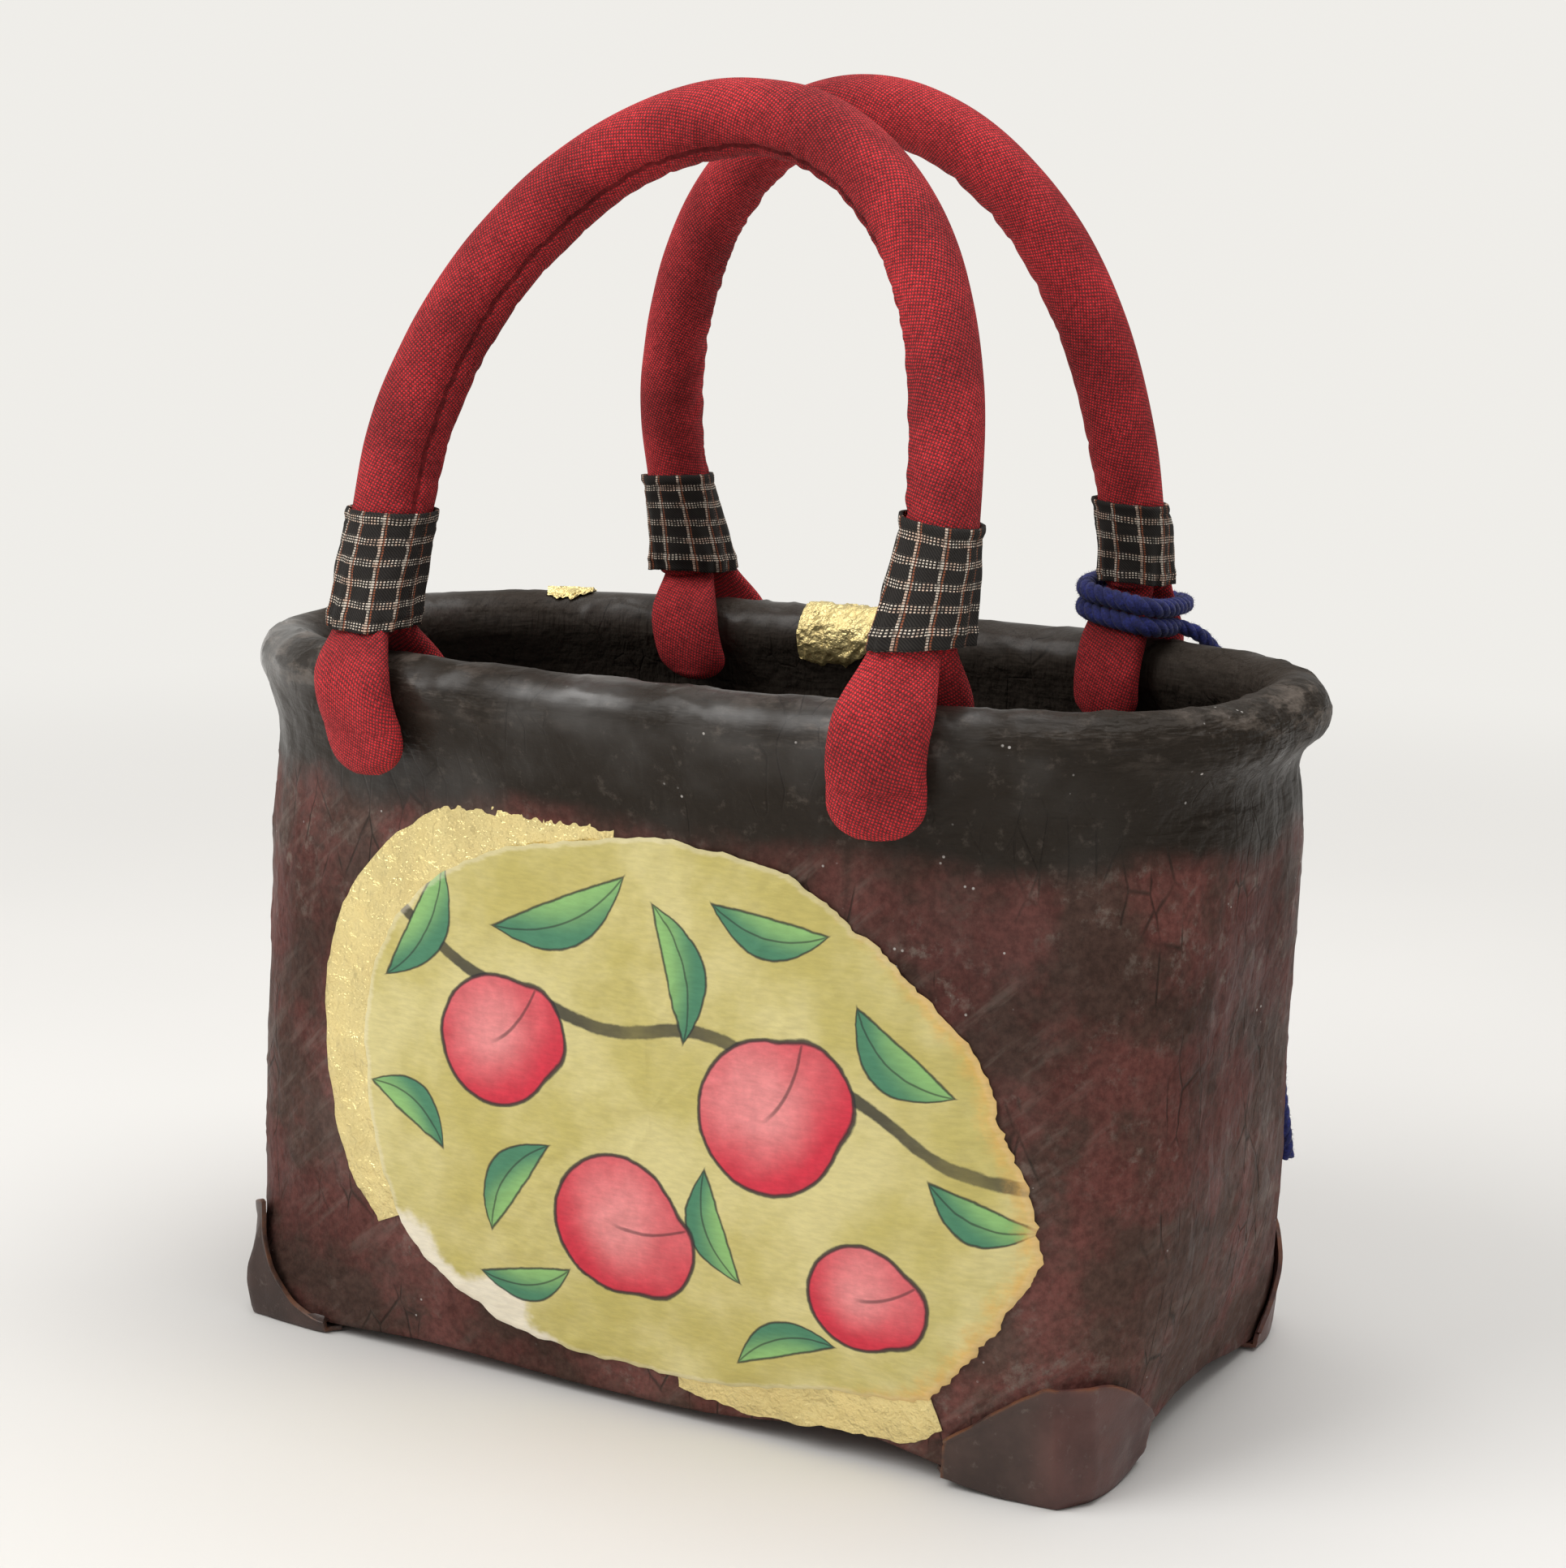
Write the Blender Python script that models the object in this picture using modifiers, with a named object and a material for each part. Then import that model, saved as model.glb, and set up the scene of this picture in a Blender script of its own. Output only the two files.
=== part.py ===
"""Lacquered paper handbag, in metres, +Z up, origin on the ground under the middle of the base.

A paper body on a bamboo hoop stands on four capped corners. Two padded cloth handles loop round
the hoop through notches in the wall, each end bound by a plaid cuff. A yarn is wound round the
right end of the back handle, and a torn paper panel with gold leaf covers most of the front.
"""
import math

import bpy
import bmesh
from mathutils import Vector

# Paper body: the base, the hoop that its wall hangs from, and the wall itself
BASE_HALF_WIDTH = 0.1370
BASE_HALF_DEPTH = 0.0805
RIM_HALF_WIDTH = 0.1500
RIM_HALF_DEPTH = 0.0830
RIM_CREST = 0.2047
RIM_SQUARENESS = 2.8
HOOP_RADIUS = 0.0097
WALL = 0.0026
BELLY = 0.0070
BASE_LIFT = 0.0075
DENT_REACH = 0.0300
DENT_DEPTH = 0.0030

# Corner caps folded round the base
CAP_THICKNESS = 0.0012
CAP_HALF_SPAN = 0.0430
CAP_HEIGHT = 0.0350
CAP_UNDER = 0.0300
SOLE_REACH = 0.0180
TIP_REACH = 0.0050
TIP_HEIGHT = 0.0110

# Padded handles and the feet that loop round the hoop
HANDLE_RADIUS = 0.0101
HANDLE_CREST = 0.3510
HANDLE_HALF_SPAN = 0.0815
SPRING_HEIGHT = 0.2450
TOE_DROP = 0.0030
TUCK_SHARE = 0.93
FOOT_TOP_SHARE = 0.86
FOOT_NARROWING = 1.3
FOOT_HALF_WIDTH = 0.0132
FOOT_HALF_THICKNESS = 0.0047
LEG_GAP = 0.0006
LEG_TUCK = 1.3
LEG_PINCH = 4.2

# Cuffs, yarn, panel and gold leaf
CUFF_LENGTH = 0.0320
CUFF_THICKNESS = 0.0013
YARN_RADIUS = 0.0026
PANEL_HALF_WIDTH = 0.1100
PANEL_CENTRE_X = 0.0120
PANEL_FOOT_MARGIN = 0.0100
PANEL_TOP_MARGIN = 0.0170
PANEL_THICKNESS = 0.0005
PANEL_GAP = 0.0009
LEAF_THICKNESS = 0.0004

# Clearances
SEAT_GAP = 0.0003
SKIN_GAP = 0.0006
CAP_GAP = 0.0013
FOOT_GAP = 0.0008
CUFF_GAP = 0.0013
YARN_JOIN_GAP = 0.0005

# Mesh density
LONG_SIDE_COLUMNS = 20
SHORT_SIDE_COLUMNS = 12
CORNER_CROWDING = 0.6
HOOP_SIDES_RESOLUTION = 3

HOOP_HEIGHT = RIM_CREST - HOOP_RADIUS
FOOT_HEIGHT = CAP_THICKNESS + CAP_GAP
WALL_TOP = HOOP_HEIGHT - HOOP_RADIUS - SEAT_GAP
FRONT = Vector((0.0, -1.0, 0.0))
PANEL_HALF_HEIGHT = (WALL_TOP - PANEL_TOP_MARGIN - PANEL_FOOT_MARGIN) / 2
PANEL_CENTRE_HEIGHT = PANEL_FOOT_MARGIN + PANEL_HALF_HEIGHT

# rise: share of the wall's height, to_rim: from the base's size (0) to the rim's (1),
# belly: share of BELLY, squareness: exponent of the outline
SECTIONS = (
    (0.00, 0.00, 0.00, 10.0),
    (0.06, 0.05, 0.20, 8.0),
    (0.16, 0.16, 0.50, 5.8),
    (0.32, 0.34, 0.76, 4.3),
    (0.55, 0.62, 0.46, 3.8),
    (0.78, 0.88, 0.22, 3.4),
    (0.92, 1.00, 0.10, 3.0),
    (1.00, 1.00, 0.00, 2.8),
)

# Shares of the wall's height at which it has a ring of points
WALL_RINGS = (0.0, 0.04, 0.09, 0.15, 0.23, 0.33, 0.45, 0.58, 0.72, 0.87, 1.0)

# across and along: place on the base's outline, from -1 to 1, lift: share of BASE_LIFT
EDGE_LIFTS = (
    (1.00, 0.00, 0.85),
    (1.00, 0.55, 0.60),
    (0.70, 1.00, 0.50),
    (0.00, 1.00, 0.20),
    (-0.70, 1.00, 0.50),
    (-1.00, 0.55, 0.60),
    (-1.00, 0.00, 0.80),
    (-1.00, -0.60, 0.60),
    (-0.74, -1.00, 0.25),
    (0.00, -1.00, 0.10),
    (0.74, -1.00, 0.95),
    (1.00, -0.55, 1.00),
)

# side: wall that is dented, across: place along it from -1 to 1, rise: share of the wall's height,
# reach: share of DENT_REACH, depth: share of DENT_DEPTH, inwards
DENTS = (
    ("front", 0.80, 0.62, 1.0, 0.55),
    ("front", 0.62, 0.16, 0.9, -0.40),
    ("front", -0.45, 0.86, 1.1, 0.35),
    ("right", 0.10, 0.55, 1.3, 0.60),
    ("right", -0.55, 0.30, 0.9, -0.35),
    ("left", 0.20, 0.60, 1.3, 0.50),
    ("left", -0.40, 0.30, 1.0, -0.30),
    ("back", 0.40, 0.50, 1.4, 0.50),
    ("back", -0.35, 0.70, 1.1, -0.35),
    ("back", -0.60, 0.30, 1.2, 0.40),
)

# side: -1 front and 1 back, lean: degrees towards the other handle, middle and span: shares of
# HANDLE_HALF_SPAN, crest: share of the rise over the spring line, skew: share of the half span
HANDLES = (
    ("front_handle", -1, 17.0, -0.035, 1.04, 1.000, 0.11),
    ("back_handle", 1, 13.0, 0.035, 0.95, 1.055, 0.00),
)

# handle, place: x over HANDLE_HALF_SPAN, toe: x of the toe over it, low: cuff's lower edge over
# the crest as a share of CUFF_LENGTH, length: share of CUFF_LENGTH, bulk: share of the radius,
# foot: share of FOOT_HALF_WIDTH, padding: share of FOOT_HALF_THICKNESS
ENDS = (
    ("front_left", "front_handle", -1.07, -0.97, 0.20, 1.00, 1.15, 1.10, 1.10),
    ("front_right", "front_handle", 1.02, 0.97, 0.46, 0.97, 0.98, 0.95, 1.10),
    ("back_left", "back_handle", -0.90, -0.81, 0.28, 0.98, 1.00, 0.98, 0.97),
    ("back_right", "back_handle", 1.00, 0.94, 0.52, 0.76, 1.00, 0.98, 0.97),
)

# Torn outline of the panel: across and up, shares of its half width and half height
PANEL_OUTLINE = (
    (-0.245, 0.890),
    (0.000, 0.945),
    (0.140, 0.925),
    (0.300, 0.905),
    (0.430, 0.820),
    (0.560, 0.700),
    (0.700, 0.530),
    (0.830, 0.340),
    (0.900, 0.100),
    (0.965, -0.080),
    (1.000, -0.300),
    (0.960, -0.440),
    (0.880, -0.620),
    (0.780, -0.800),
    (0.730, -0.860),
    (0.420, -0.930),
    (0.130, -0.960),
    (-0.150, -0.960),
    (-0.400, -0.930),
    (-0.580, -0.820),
    (-0.740, -0.640),
    (-0.830, -0.330),
    (-0.880, 0.020),
    (-0.850, 0.330),
    (-0.760, 0.560),
    (-0.600, 0.740),
    (-0.430, 0.840),
)

# Gold leaf beside the panel's upper left edge: across, up, and width over LEAF_WIDTH
LEAF_WIDTH = 0.0200
CRESCENT_COURSE = (
    (-0.175, 1.000, 0.20),
    (-0.300, 0.995, 0.50),
    (-0.480, 0.935, 0.65),
    (-0.680, 0.800, 0.78),
    (-0.850, 0.590, 0.80),
    (-0.945, 0.330, 0.72),
    (-0.965, 0.020, 0.66),
    (-0.915, -0.330, 0.62),
    (-0.820, -0.620, 0.30),
)
STRIP_COURSE = (
    (0.100, -1.030, 0.10),
    (0.280, -1.030, 0.40),
    (0.460, -1.020, 0.60),
    (0.640, -0.985, 0.65),
    (0.780, -0.925, 0.30),
)

# Gold leaf over the back of the hoop: turn round the hoop's section in degrees from straight
# outwards, across the rim as a share of RIM_HALF_WIDTH
HOOP_LEAVES = (
    ("gold_leaf_inside", -0.215, -0.035, 85.0, 235.0),
    ("gold_leaf_crest", -0.800, -0.710, 60.0, 130.0),
)

# Loose end of the yarn, from the windings over the hoop's shoulder and down the back corner
YARN_TAIL_ROUTE = (
    (0.0993, 0.0805, 0.2062),
    (0.1030, 0.0838, 0.2015),
    (0.1085, 0.0837, 0.1962),
    (0.1207, 0.0780, 0.1935),
    (0.1315, 0.0715, 0.1925),
    (0.1340, 0.0690, 0.1870),
    (0.1342, 0.0668, 0.1800),
    (0.1341, 0.0654, 0.1700),
    (0.1343, 0.0651, 0.1500),
    (0.1347, 0.0668, 0.1250),
    (0.1347, 0.0680, 0.1000),
    (0.1356, 0.0685, 0.0780),
    (0.1372, 0.0681, 0.0655),
    (0.1390, 0.0677, 0.0545),
)


def clear_scene():
    """Remove what the file opened with."""
    for obj in list(bpy.data.objects):
        bpy.data.objects.remove(obj, do_unlink=True)


def make_collection(name):
    collection = bpy.data.collections.new(name)
    bpy.context.scene.collection.children.link(collection)
    return collection


def make_material(name, colour, roughness, metallic=0.0):
    material = bpy.data.materials.new(name)
    material.use_nodes = True
    shader = material.node_tree.nodes["Principled BSDF"]
    shader.inputs["Base Color"].default_value = (*colour, 1.0)
    shader.inputs["Roughness"].default_value = roughness
    shader.inputs["Metallic"].default_value = metallic
    material.diffuse_color = (*colour, 1.0)
    return material


def mesh_object(name, points, faces, collection, material=None):
    """Make a smooth object of points and faces, with its faces pointing out."""
    mesh = bpy.data.meshes.new(name)
    mesh.from_pydata([tuple(point) for point in points], [], faces)
    shape = bmesh.new()
    shape.from_mesh(mesh)
    bmesh.ops.recalc_face_normals(shape, faces=shape.faces)
    shape.to_mesh(mesh)
    shape.free()
    mesh.shade_smooth()
    obj = bpy.data.objects.new(name, mesh)
    collection.objects.link(obj)
    if material:
        mesh.materials.append(material)
    return obj


def skin_object(name, points, faces, outward, thickness, collection, material):
    """Make a sheet that faces outward and is thickened that way, away from what carries it."""
    mesh = bpy.data.meshes.new(name)
    mesh.from_pydata([tuple(point) for point in points], [], faces)
    mesh.update()
    facing = sum((polygon.normal * polygon.area for polygon in mesh.polygons), Vector())
    if facing.dot(outward) < 0:
        mesh.flip_normals()
    mesh.shade_smooth()
    mesh.materials.append(material)
    skin = bpy.data.objects.new(name, mesh)
    collection.objects.link(skin)
    sheet = skin.modifiers.new("sheet", "SOLIDIFY")
    sheet.thickness = thickness
    sheet.offset = 1
    sheet.use_even_offset = True
    return skin


def mix(low, high, share):
    return low + (high - low) * share


def smooth_row(rows, place):
    """Read a table at a place in its first column, on a curve through its rows."""
    last = len(rows) - 1
    row = 0
    while row < last - 1 and place > rows[row + 1][0]:
        row += 1
    before = rows[max(row - 1, 0)]
    start = rows[row]
    end = rows[row + 1]
    after = rows[min(row + 2, last)]
    share = (place - start[0]) / (end[0] - start[0])
    values = []
    for a, b, c, d in zip(before[1:], start[1:], end[1:], after[1:]):
        bend_in = (c - a) / 2
        bend_out = (d - b) / 2
        values.append(
            b
            + bend_in * share
            + (3 * (c - b) - 2 * bend_in - bend_out) * share ** 2
            + (2 * (b - c) + bend_in + bend_out) * share ** 3
        )
    return values


def smooth_path(points, steps, closed=False):
    """Return points on a smooth curve through the given ones."""
    count = len(points)
    spans = count if closed else count - 1
    path = []
    for span in range(spans):
        if closed:
            near = [points[(span + shift) % count] for shift in (-1, 0, 1, 2)]
        else:
            near = [points[min(max(span + shift, 0), count - 1)] for shift in (-1, 0, 1, 2)]
        for step in range(steps):
            share = step / steps
            bend_in = (near[2] - near[0]) / 2
            bend_out = (near[3] - near[1]) / 2
            path.append(
                near[1]
                + bend_in * share
                + (3 * (near[2] - near[1]) - 2 * bend_in - bend_out) * share ** 2
                + (2 * (near[1] - near[2]) + bend_in + bend_out) * share ** 3
            )
    if not closed:
        path.append(points[-1].copy())
    return path


def outline_scale(across, along, squareness):
    """Scale that brings a direction onto a rounded rectangle of half sizes 1 and 1."""
    return (abs(across) ** squareness + abs(along) ** squareness) ** (-1 / squareness)


def side_place(step, steps):
    """Place of a column along a side, from -1 to 1, with the columns crowded at the corners."""
    even = mix(-1.0, 1.0, step / steps)
    return mix(even, math.sin(even * math.pi / 2), CORNER_CROWDING)


def rectangle_walk():
    """List the columns of the wall as places on a rectangle from -1 to 1, counter-clockwise."""
    columns = []
    for step in range(SHORT_SIDE_COLUMNS):
        columns.append((1.0, side_place(step, SHORT_SIDE_COLUMNS)))
    for step in range(LONG_SIDE_COLUMNS):
        columns.append((-side_place(step, LONG_SIDE_COLUMNS), 1.0))
    for step in range(SHORT_SIDE_COLUMNS):
        columns.append((-1.0, -side_place(step, SHORT_SIDE_COLUMNS)))
    for step in range(LONG_SIDE_COLUMNS):
        columns.append((side_place(step, LONG_SIDE_COLUMNS), -1.0))
    return columns


def section_at(rise):
    """Half width, half depth and squareness of the wall's outer face at a share of its height."""
    to_rim, belly, squareness = smooth_row(SECTIONS, rise)
    half_width = mix(BASE_HALF_WIDTH, RIM_HALF_WIDTH + WALL / 2, to_rim) + BELLY * belly
    half_depth = mix(BASE_HALF_DEPTH, RIM_HALF_DEPTH + WALL / 2, to_rim) + BELLY * belly
    return half_width, half_depth, squareness


def edge_lift(across, along):
    """Height of the base's edge over the foot height, between lifts listed round the base."""
    reach = max(abs(across), abs(along))
    across = across / reach
    along = along / reach
    total = 0.0
    weights = 0.0
    for lift_across, lift_along, lift in EDGE_LIFTS:
        span = math.hypot(
            (across - lift_across) * BASE_HALF_WIDTH,
            (along - lift_along) * BASE_HALF_DEPTH,
        )
        weight = 1 / (span / BASE_HALF_DEPTH + 0.05) ** 3
        total += weight * lift
        weights += weight
    return BASE_LIFT * total / weights


def off_the_sole(x, y):
    """Share of the lift at a place of the base, none over the flat soles at the corners."""
    away = math.hypot(BASE_HALF_WIDTH - abs(x), BASE_HALF_DEPTH - abs(y)) / SOLE_REACH
    share = min(1.0, max(0.0, (away - 1) / 3))
    return share ** 2 * (3 - 2 * share)


def corner_tip(across, along, height):
    """Reach of the pinched corners over the rounded outline."""
    corner = min(abs(across), abs(along)) ** 12
    return TIP_REACH * corner * math.exp(-((height - TIP_HEIGHT) / (1.3 * TIP_HEIGHT)) ** 2)


def dent_at(across, along, rise):
    """Depth of the dents at a place of the wall."""
    depth = 0.0
    for side, place, dent_rise, reach, share in DENTS:
        faces = {"front": along <= -1, "back": along >= 1, "right": across >= 1, "left": across <= -1}
        if not faces[side]:
            continue
        if side in ("front", "back"):
            sideways = (across - place) * RIM_HALF_WIDTH
            edge = 1 - across ** 8
        else:
            sideways = (along - place) * RIM_HALF_DEPTH
            edge = 1 - along ** 8
        upwards = (rise - dent_rise) * WALL_TOP
        distance = math.hypot(sideways, upwards) / (reach * DENT_REACH)
        depth += share * DENT_DEPTH * math.exp(-distance ** 2) * edge
    return depth


def wall_point(across, along, rise, offset=0.0):
    """Point of the wall's outer face, moved outwards by the offset."""
    half_width, half_depth, squareness = section_at(rise)
    scale = outline_scale(across, along, squareness)
    x = half_width * across * scale
    y = half_depth * along * scale
    normal = Vector((
        math.copysign(abs(x / half_width) ** (squareness - 1), x) / half_width,
        math.copysign(abs(y / half_depth) ** (squareness - 1), y) / half_depth,
        0.0,
    )).normalized()
    settled = max(0.0, 1 - rise * 3) ** 2 * off_the_sole(x, y)
    height = mix(FOOT_HEIGHT, WALL_TOP, rise) + edge_lift(across, along) * settled
    shift = offset - dent_at(across, along, rise) + corner_tip(across, along, height)
    return Vector((x, y, height)) + normal * shift


def base_point(across, along, share, drop=0.0):
    """Point of the base's underside, from its middle (0) to its edge (1)."""
    edge = wall_point(across, along, 0.0)
    x = edge.x * share
    y = edge.y * share
    sag = 1 - (1 - share) ** 2
    lift = mix(BASE_LIFT * 0.45, edge_lift(across, along), sag) * off_the_sole(x, y)
    return Vector((x, y, FOOT_HEIGHT + lift - drop))


def front_point(across_x, height, offset):
    """Point on the front wall at a width and height, moved outwards by the offset."""
    rise = (height - FOOT_HEIGHT) / (WALL_TOP - FOOT_HEIGHT)
    half_width, half_depth, squareness = section_at(rise)
    depth = half_depth * (1 - abs(across_x / half_width) ** squareness) ** (1 / squareness)
    across = across_x / half_width * half_depth / depth
    return wall_point(across, -1.0, rise, offset)


def hoop_depth(x):
    """Distance of the hoop's centre line from the middle plane at a place along the bag."""
    inside = 1 - abs(x / RIM_HALF_WIDTH) ** RIM_SQUARENESS
    return RIM_HALF_DEPTH * inside ** (1 / RIM_SQUARENESS)


def bridge(rings, closed_end=None):
    """Faces between rings of equal length, closed on themselves."""
    count = len(rings[0])
    faces = []
    for low in range(len(rings) - 1):
        for column in range(count):
            following = (column + 1) % count
            faces.append((
                rings[low][column],
                rings[low][following],
                rings[low + 1][following],
                rings[low + 1][column],
            ))
    if closed_end is not None:
        for column in range(count):
            faces.append((closed_end, rings[0][(column + 1) % count], rings[0][column]))
    return faces


def cut(obj, cutter):
    """Cut one object with another and keep the cut in the mesh."""
    modifier = obj.modifiers.new("notch", "BOOLEAN")
    modifier.operation = "DIFFERENCE"
    modifier.solver = "EXACT"
    modifier.object = cutter


def make_shell(parts, cutters, paper):
    """Paper wall and base, one skin thickened inwards, with notches for the handles' feet."""
    columns = rectangle_walk()
    points = [Vector((0.0, 0.0, base_point(1.0, 0.0, 0.0).z))]
    rings = []
    for share in (0.35, 0.65, 0.88):
        rings.append(list(range(len(points), len(points) + len(columns))))
        points += [base_point(across, along, share) for across, along in columns]
    for rise in WALL_RINGS:
        rings.append(list(range(len(points), len(points) + len(columns))))
        points += [wall_point(across, along, rise) for across, along in columns]
    shell = mesh_object("paper_body", points, bridge(rings, closed_end=0), parts, paper)
    wall = shell.modifiers.new("wall", "SOLIDIFY")
    wall.thickness = WALL
    wall.offset = -1
    wall.use_even_offset = True
    for end in ENDS:
        name, handle, _, toe, _, _, _, foot, _ = end
        side = handle_row(handle)[1]
        half_width = FOOT_HALF_WIDTH * foot + FOOT_GAP
        low = HOOP_HEIGHT - foot_loop_radius(end) - TOE_DROP - foot_half_thickness(end) - FOOT_GAP
        high = WALL_TOP + WALL
        x = toe * HANDLE_HALF_SPAN
        bpy.ops.mesh.primitive_cube_add(
            size=1.0,
            location=(x, side * hoop_depth(x), (low + high) / 2),
        )
        cutter = bpy.context.active_object
        cutter.name = f"{name}_notch"
        cutter.scale = (2 * half_width, 8 * WALL, high - low)
        for collection in list(cutter.users_collection):
            collection.objects.unlink(cutter)
        cutters.objects.link(cutter)
        cutter.hide_render = True
        cutter.display_type = "WIRE"
        cut(shell, cutter)
    return shell


def make_hoop(parts, paper):
    """Round hoop along the rim, wrapped in the body's paper."""
    curve = bpy.data.curves.new("rim_hoop", "CURVE")
    curve.dimensions = "3D"
    curve.bevel_depth = HOOP_RADIUS
    curve.bevel_resolution = HOOP_SIDES_RESOLUTION
    columns = rectangle_walk()
    spline = curve.splines.new("POLY")
    spline.points.add(len(columns) - 1)
    for point, (across, along) in zip(spline.points, columns):
        scale = outline_scale(across, along, RIM_SQUARENESS)
        point.co = (
            RIM_HALF_WIDTH * across * scale,
            RIM_HALF_DEPTH * along * scale,
            HOOP_HEIGHT,
            1.0,
        )
    spline.use_cyclic_u = True
    curve.materials.append(paper)
    hoop = bpy.data.objects.new("rim_hoop", curve)
    parts.objects.link(hoop)
    return hoop


def cap_columns(side_x, side_y):
    """Columns of the wall under a corner's cap, from its end on the long side to the other."""
    end_x = 1 - CAP_HALF_SPAN / BASE_HALF_WIDTH
    end_y = 1 - CAP_HALF_SPAN / BASE_HALF_DEPTH
    places = [side_place(step, LONG_SIDE_COLUMNS) for step in range(LONG_SIDE_COLUMNS)]
    columns = [(side_x * place, side_y) for place in places if place > end_x]
    columns.append((side_x, side_y))
    places = [side_place(step, SHORT_SIDE_COLUMNS) for step in range(SHORT_SIDE_COLUMNS)]
    columns += [(side_x, side_y * place) for place in reversed(places) if place > end_y]
    return columns


def make_cap(name, side_x, side_y, parts, leather):
    """Corner cap: a skin over the wall and a flap under the base, thickened outwards."""
    corner_top = CAP_HEIGHT / WALL_TOP
    rises = [rise for rise in WALL_RINGS if rise < corner_top * 0.95] + [corner_top]
    under_shares = (1.0, 0.66, 0.33, 0.06)
    points = []
    rings = []
    for across, along in cap_columns(side_x, side_y):
        span_x = (1 - abs(across)) * BASE_HALF_WIDTH
        span_y = (1 - abs(along)) * BASE_HALF_DEPTH
        share = min(1.0, max(span_x, span_y) / CAP_HALF_SPAN)
        top = max(0.16, 1 - share ** 1.5)
        column = []
        under = CAP_UNDER * max(0.12, 1 - share ** 1.6)
        edge_length = math.hypot(BASE_HALF_WIDTH * across, BASE_HALF_DEPTH * along)
        for under_share in under_shares:
            column.append(base_point(across, along, 1 - under * under_share / edge_length, CAP_GAP))
        for rise in rises:
            place = wall_point(across, along, rise * top, CAP_GAP)
            if rise == 0:
                place.z -= CAP_GAP
            column.append(place)
        rings.append(list(range(len(points), len(points) + len(column))))
        points += column
    faces = []
    for left, right in zip(rings, rings[1:]):
        for row in range(len(left) - 1):
            faces.append((left[row], right[row], right[row + 1], left[row + 1]))
    outward = Vector((side_x, side_y, 0.0))
    return skin_object(name, points, faces, outward, CAP_THICKNESS, parts, leather)


def handle_row(name):
    return next(row for row in HANDLES if row[0] == name)


def end_rows(handle):
    return [row for row in ENDS if row[1] == handle]


def cuff_heights(end):
    """Lower and upper edge of an end's cuff."""
    low = RIM_CREST + end[4] * CUFF_LENGTH
    return low, low + end[5] * CUFF_LENGTH


def handle_depth(handle, height):
    """Depth coordinate of a handle's leaning plane at a height."""
    _, side, lean, _, _, _, _ = handle
    hang = hoop_depth(HANDLE_HALF_SPAN)
    return side * (hang - (height - RIM_CREST) * math.tan(math.radians(lean)))


def handle_path(handle):
    """Points of a handle's centre line with their radius shares, from its left end to its right."""
    name, _, _, middle, span, crest, skew = handle
    left, right = end_rows(name)
    rise = (HANDLE_CREST - SPRING_HEIGHT) * crest
    route = []
    bulks = []
    for end in (left, right):
        low, high = cuff_heights(end)
        x = end[2] * HANDLE_HALF_SPAN
        stretch = [
            (Vector((x, handle_depth(handle, low), low + CUFF_GAP)), end[6] * TUCK_SHARE),
            (Vector((x, handle_depth(handle, mix(low, high, 0.6)), mix(low, high, 0.6))), end[6] * TUCK_SHARE),
        ]
        if end is right:
            stretch.reverse()
            tail = stretch
        else:
            head = stretch
    arch = []
    arch_steps = 12
    for step in range(arch_steps + 1):
        turn = math.pi * mix(0.955, 0.045, step / arch_steps)
        lift = math.sin(turn)
        x = (middle + span * math.cos(turn) + skew * lift ** 2) * HANDLE_HALF_SPAN
        height = SPRING_HEIGHT + rise * lift
        bulk = mix(left[6], right[6], step / arch_steps) * mix(1.0, 0.96, lift)
        arch.append((Vector((x, handle_depth(handle, height), height)), bulk))
    for point, bulk in head + arch + tail:
        route.append(point)
        bulks.append(bulk)
    return route, bulks


def foot_half_thickness(end):
    return FOOT_HALF_THICKNESS * end[8]


def foot_loop_radius(end):
    """Radius of a foot's course round the hoop."""
    return HOOP_RADIUS + FOOT_GAP + foot_half_thickness(end)


def foot_outline(end, turn):
    """Place on a foot's course round the hoop, seen along it: out from it and up from its centre."""
    up = -math.cos(turn)
    radius = foot_loop_radius(end)
    if up < 0:
        return radius * math.sin(turn), up * (radius + TOE_DROP)
    together = foot_half_thickness(end) + LEG_GAP
    pinch = abs(math.sin(turn)) ** LEG_PINCH
    return math.copysign(mix(together, radius, pinch), math.sin(turn)), up * foot_loop_top(end)


def foot_share(end, height):
    """Share of the way up a foot, from its toe (0) to the top of its loop (1)."""
    radius = foot_loop_radius(end)
    share = (height - HOOP_HEIGHT + radius) / (foot_loop_top(end) + radius)
    return min(1.0, max(0.0, share))


def foot_half_width(end, height):
    """Half width of a foot at a height, from its toe to the top of its loop."""
    share = foot_share(end, height)
    return mix(FOOT_HALF_WIDTH * end[7], HANDLE_RADIUS * end[6] * FOOT_TOP_SHARE, share ** FOOT_NARROWING)


def foot_middle(end, height):
    """Place along the bag of a foot's middle at a height."""
    return mix(end[3], end[2], foot_share(end, height) ** 1.3) * HANDLE_HALF_SPAN


def foot_loop_top(end):
    """Height over the hoop's centre of the loop's top inside the cuff."""
    low, _ = cuff_heights(end)
    return low + FOOT_HALF_THICKNESS * LEG_TUCK - HOOP_HEIGHT


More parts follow.
